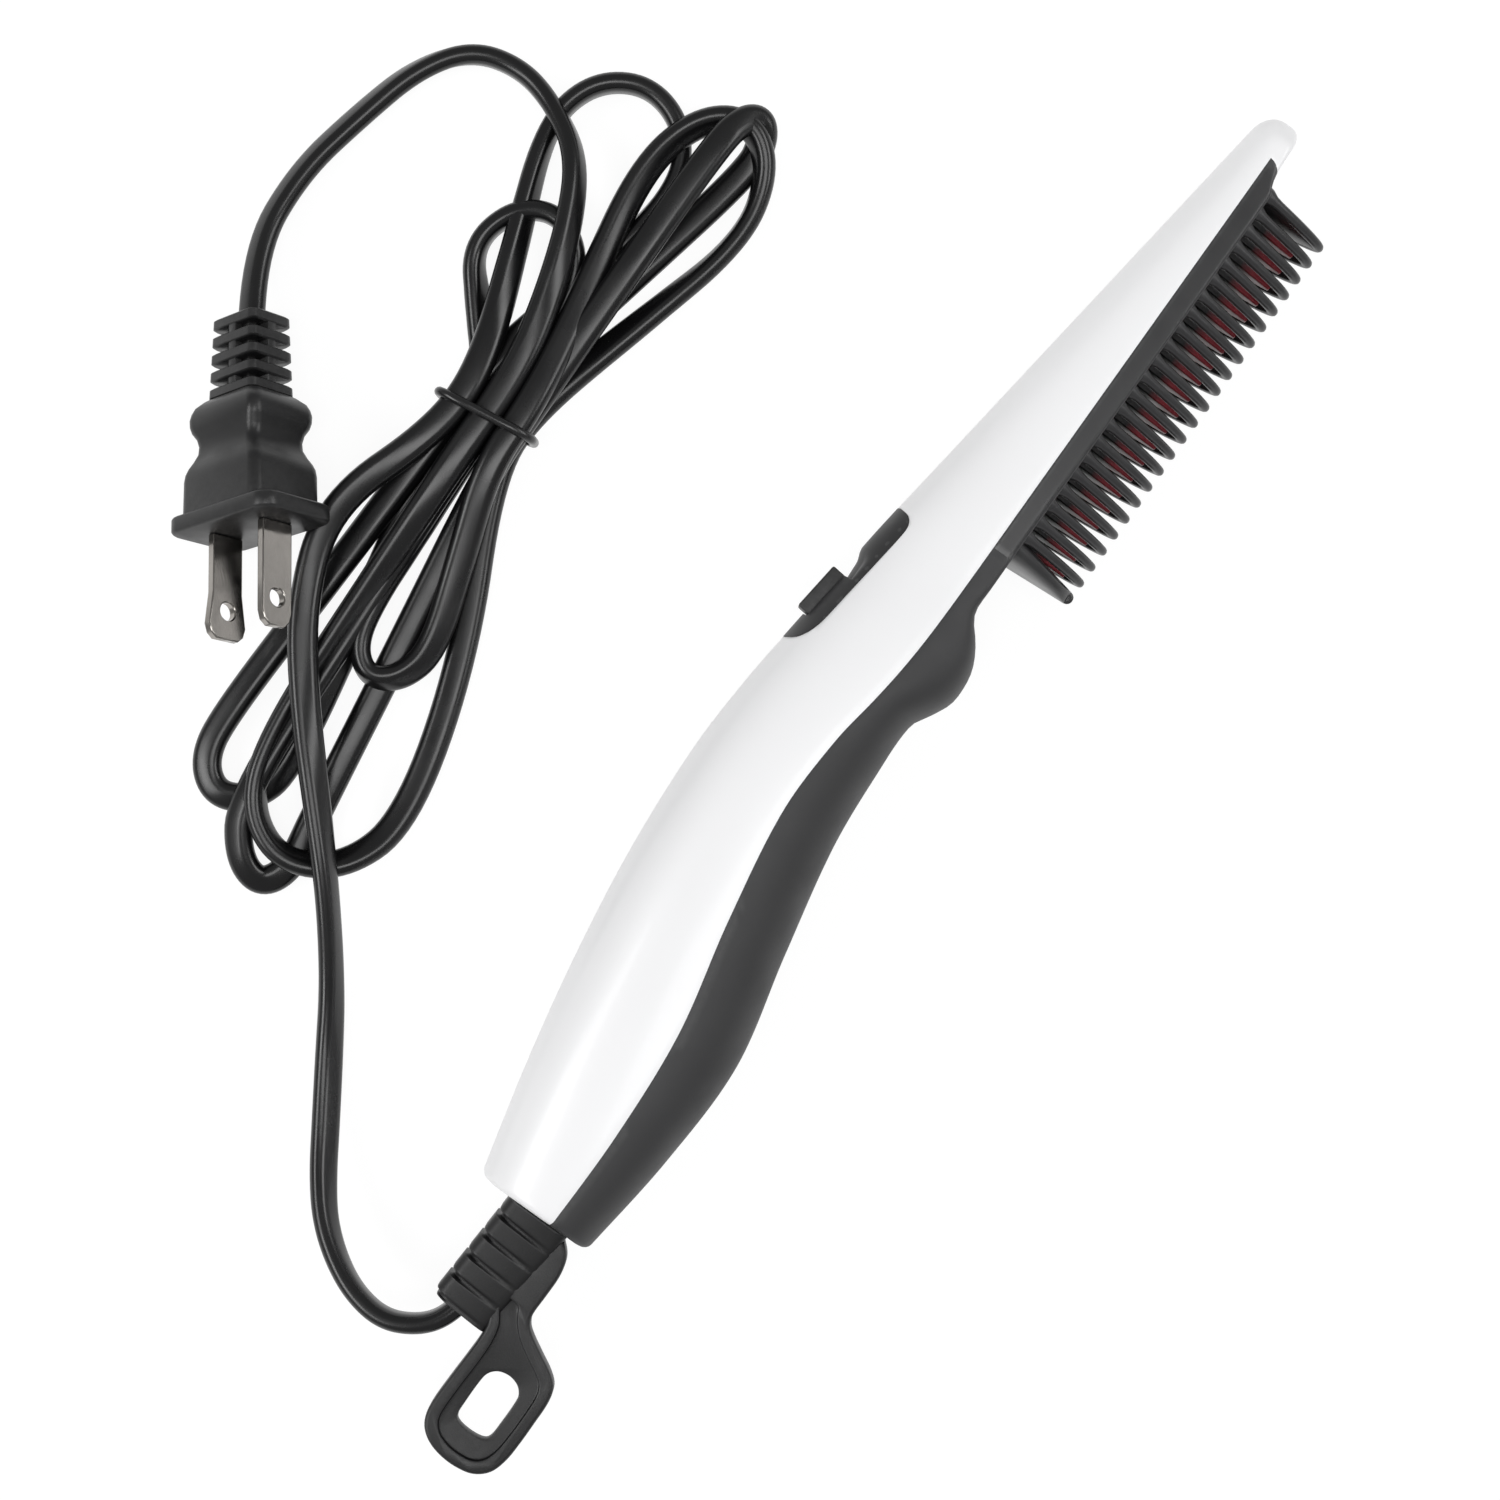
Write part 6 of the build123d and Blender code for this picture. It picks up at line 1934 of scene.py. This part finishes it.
# ---------------------------------------------------------------- studio
@dataclass
class Studio:
    """Camera, floor and lamps.

    Attributes:
        eye: where the camera stands, mm.
        half_view, view_distance: half the width that it sees, and at what distance, mm.
        right, up: the row directions to the right and up in its picture.
        floor_size, floor_gap: the floor's side, metres, and its gap under the object, mm.
        board, glow, glow_share: the floor's grey, its light, and the share that the camera gets.
        surroundings: light of the surroundings on the object.
        lamps: name, place, sides and power of every lamp, in metres and watts.
    """

    eye: Triple = (-5.55, 14.3, 479.0)
    half_view: float = 127.98
    view_distance: float = 465.0
    right: Triple = (0.5807, -0.8141, 0.0)
    up: Triple = (0.8141, 0.5807, 0.0)
    floor_size: float = 6.0
    floor_gap: float = 0.02
    board: float = 0.93
    glow: float = 1.06
    glow_share: float = 0.86
    surroundings: float = 0.32
    lamps: tuple[tuple[str, Triple, Pair, float], ...] = (
        ("overhead", (-0.1, -0.13, 1.5), (0.9, 0.5), 6.6),
        ("window", (-0.95, 0.95, 1.15), (1.2, 0.5), 13.0),
        ("fill", (0.95, -0.85, 1.1), (1.2, 0.5), 9.0),
    )

    def camera(self) -> None:
        """Makes the camera, straight above the comb's middle and turned to its slant."""
        data = bpy.data.cameras.new("camera")
        data.angle = 2 * math.atan(self.half_view / self.view_distance)
        camera = linked("camera", data)
        turn = Matrix((self.right, self.up, (0.0, 0.0, 1.0))).transposed().to_4x4()
        camera.matrix_world = Matrix.Translation(Vector(self.eye) * MM) @ turn
        bpy.context.scene.camera = camera

    def floor(self) -> None:
        """Makes the pale floor, which takes the object's soft shadow."""
        material = bpy.data.materials.new("pale_floor")
        graph = empty_graph(material)
        path = graph.add("ShaderNodeLightPath")
        seen = graph.maths("MAXIMUM", path.outputs["Is Camera Ray"], path.outputs["Is Glossy Ray"])
        seen = graph.maths("MAXIMUM", seen, path.outputs["Is Transmission Ray"])
        share = graph.maths("MULTIPLY", seen, self.glow_share)
        board = graph.add("ShaderNodeBsdfDiffuse", {"Color": (self.board, self.board, self.board, 1.0)})
        glow = graph.add("ShaderNodeEmission", {"Color": WHITE, "Strength": self.glow})
        mixed = graph.add("ShaderNodeMixShader", {0: share, 1: board.outputs[0], 2: glow.outputs[0]})
        graph.add("ShaderNodeOutputMaterial", {"Surface": mixed.outputs[0]})
        bm = bmesh.new()
        bmesh.ops.create_grid(bm, x_segments=1, y_segments=1, size=self.floor_size / 2)
        bmesh.ops.translate(bm, vec=(0, 0, -self.floor_gap * MM), verts=bm.verts[:])
        mesh = finished_mesh(bm, "floor")
        mesh.materials.append(material)
        linked("floor", mesh)

    def lamp(self, name: str, place: Triple, size: Pair, power: float) -> None:
        """Adds a soft lamp that looks at the object.

        Args:
            name: its name.
            place: where it stands, metres.
            size: its two sides, metres.
            power: its power, watts.
        """
        data = bpy.data.lights.new(name, "AREA")
        data.shape = "RECTANGLE"
        data.size, data.size_y = size
        data.energy = power
        lamp = linked(name, data)
        lamp.location = place
        lamp.rotation_euler = Vector(place).to_track_quat("Z", "Y").to_euler()

    def lights(self) -> None:
        """Makes the lamps and the pale surroundings."""
        for lamp in self.lamps:
            self.lamp(*lamp)
        world = bpy.data.worlds.new("surroundings")
        bpy.context.scene.world = world
        graph = empty_graph(world)
        path = graph.add("ShaderNodeLightPath")
        seen = graph.maths("MAXIMUM", path.outputs["Is Camera Ray"], path.outputs["Is Transmission Ray"])
        level = graph.add("ShaderNodeMapRange", {"Value": seen, "To Min": self.surroundings, "To Max": 1.0})
        sky = graph.add("ShaderNodeBackground", {"Color": WHITE, "Strength": level.outputs[0]})
        graph.add("ShaderNodeOutputWorld", {"Surface": sky.outputs[0]})
        bpy.context.scene.view_settings.view_transform = "Standard"


# ---------------------------------------------------------------- the whole object
def build_shells(housing: Housing, plate: SwitchPlate, place: CombFrame, palette: Palette) -> None:
    """Builds the white spine shell and the black grip shell.

    Args:
        housing: the form that both are part of.
        plate: the switch plate, which the spine shell has an opening for.
        place: the comb's frame.
        palette: the finishes.
    """
    def spine_part(x: float, turn: float, z: float) -> bool:
        """Above the seam, and all round in front of the band."""
        return turn < SEAM_TURN or x > housing.band_end

    def grip_part(x: float, turn: float, z: float) -> bool:
        """Below the seam, behind the band."""
        return turn > SEAM_TURN and x < housing.guard_start

    spine = Piece("spine_shell_white", "shell_white", ("spine_shell",))
    shell = housing.finish_patch(housing.patch(place, spine_part), spine, palette)
    apply_modifiers(shell)
    plate.cut_shell(shell, place)
    grip = Piece("grip_shell_black", "grip_black", ("grip_shell",))
    housing.finish_patch(housing.patch(place, grip_part), grip, palette)


def main() -> None:
    """Builds the camera, the cord and then every other piece."""
    logging.basicConfig(level=logging.INFO, format="%(name)s %(message)s")
    studio = Studio()
    studio.camera()
    palette = Palette()
    cord, plug = Cord(), Plug()
    line = cord.build(palette)
    tie = cord.build_tie(palette)
    plug_pieces = [plug.build_body(palette),
                   plug.build_blade(1, plug.wide_tip, "plug_blade_wide", "wide_blade", palette),
                   plug.build_blade(-1, plug.blade_width, "plug_blade_narrow", "narrow_blade", palette)]
    housing = Housing()
    place = CombFrame.from_boxes(housing.band_top)
    plate = SwitchPlate(housing)
    build_shells(housing, plate, place, palette)
    plate.build(place, palette)
    plate.build_knob(place, palette)
    teeth = ToothRow(housing)
    teeth.build_guard(place, palette)
    teeth.build_comb(place, palette)
    StrainRelief().build(place, palette)
    palette.dress_inside()
    studio.floor()
    studio.lights()


if __name__ == "__main__":
    main()
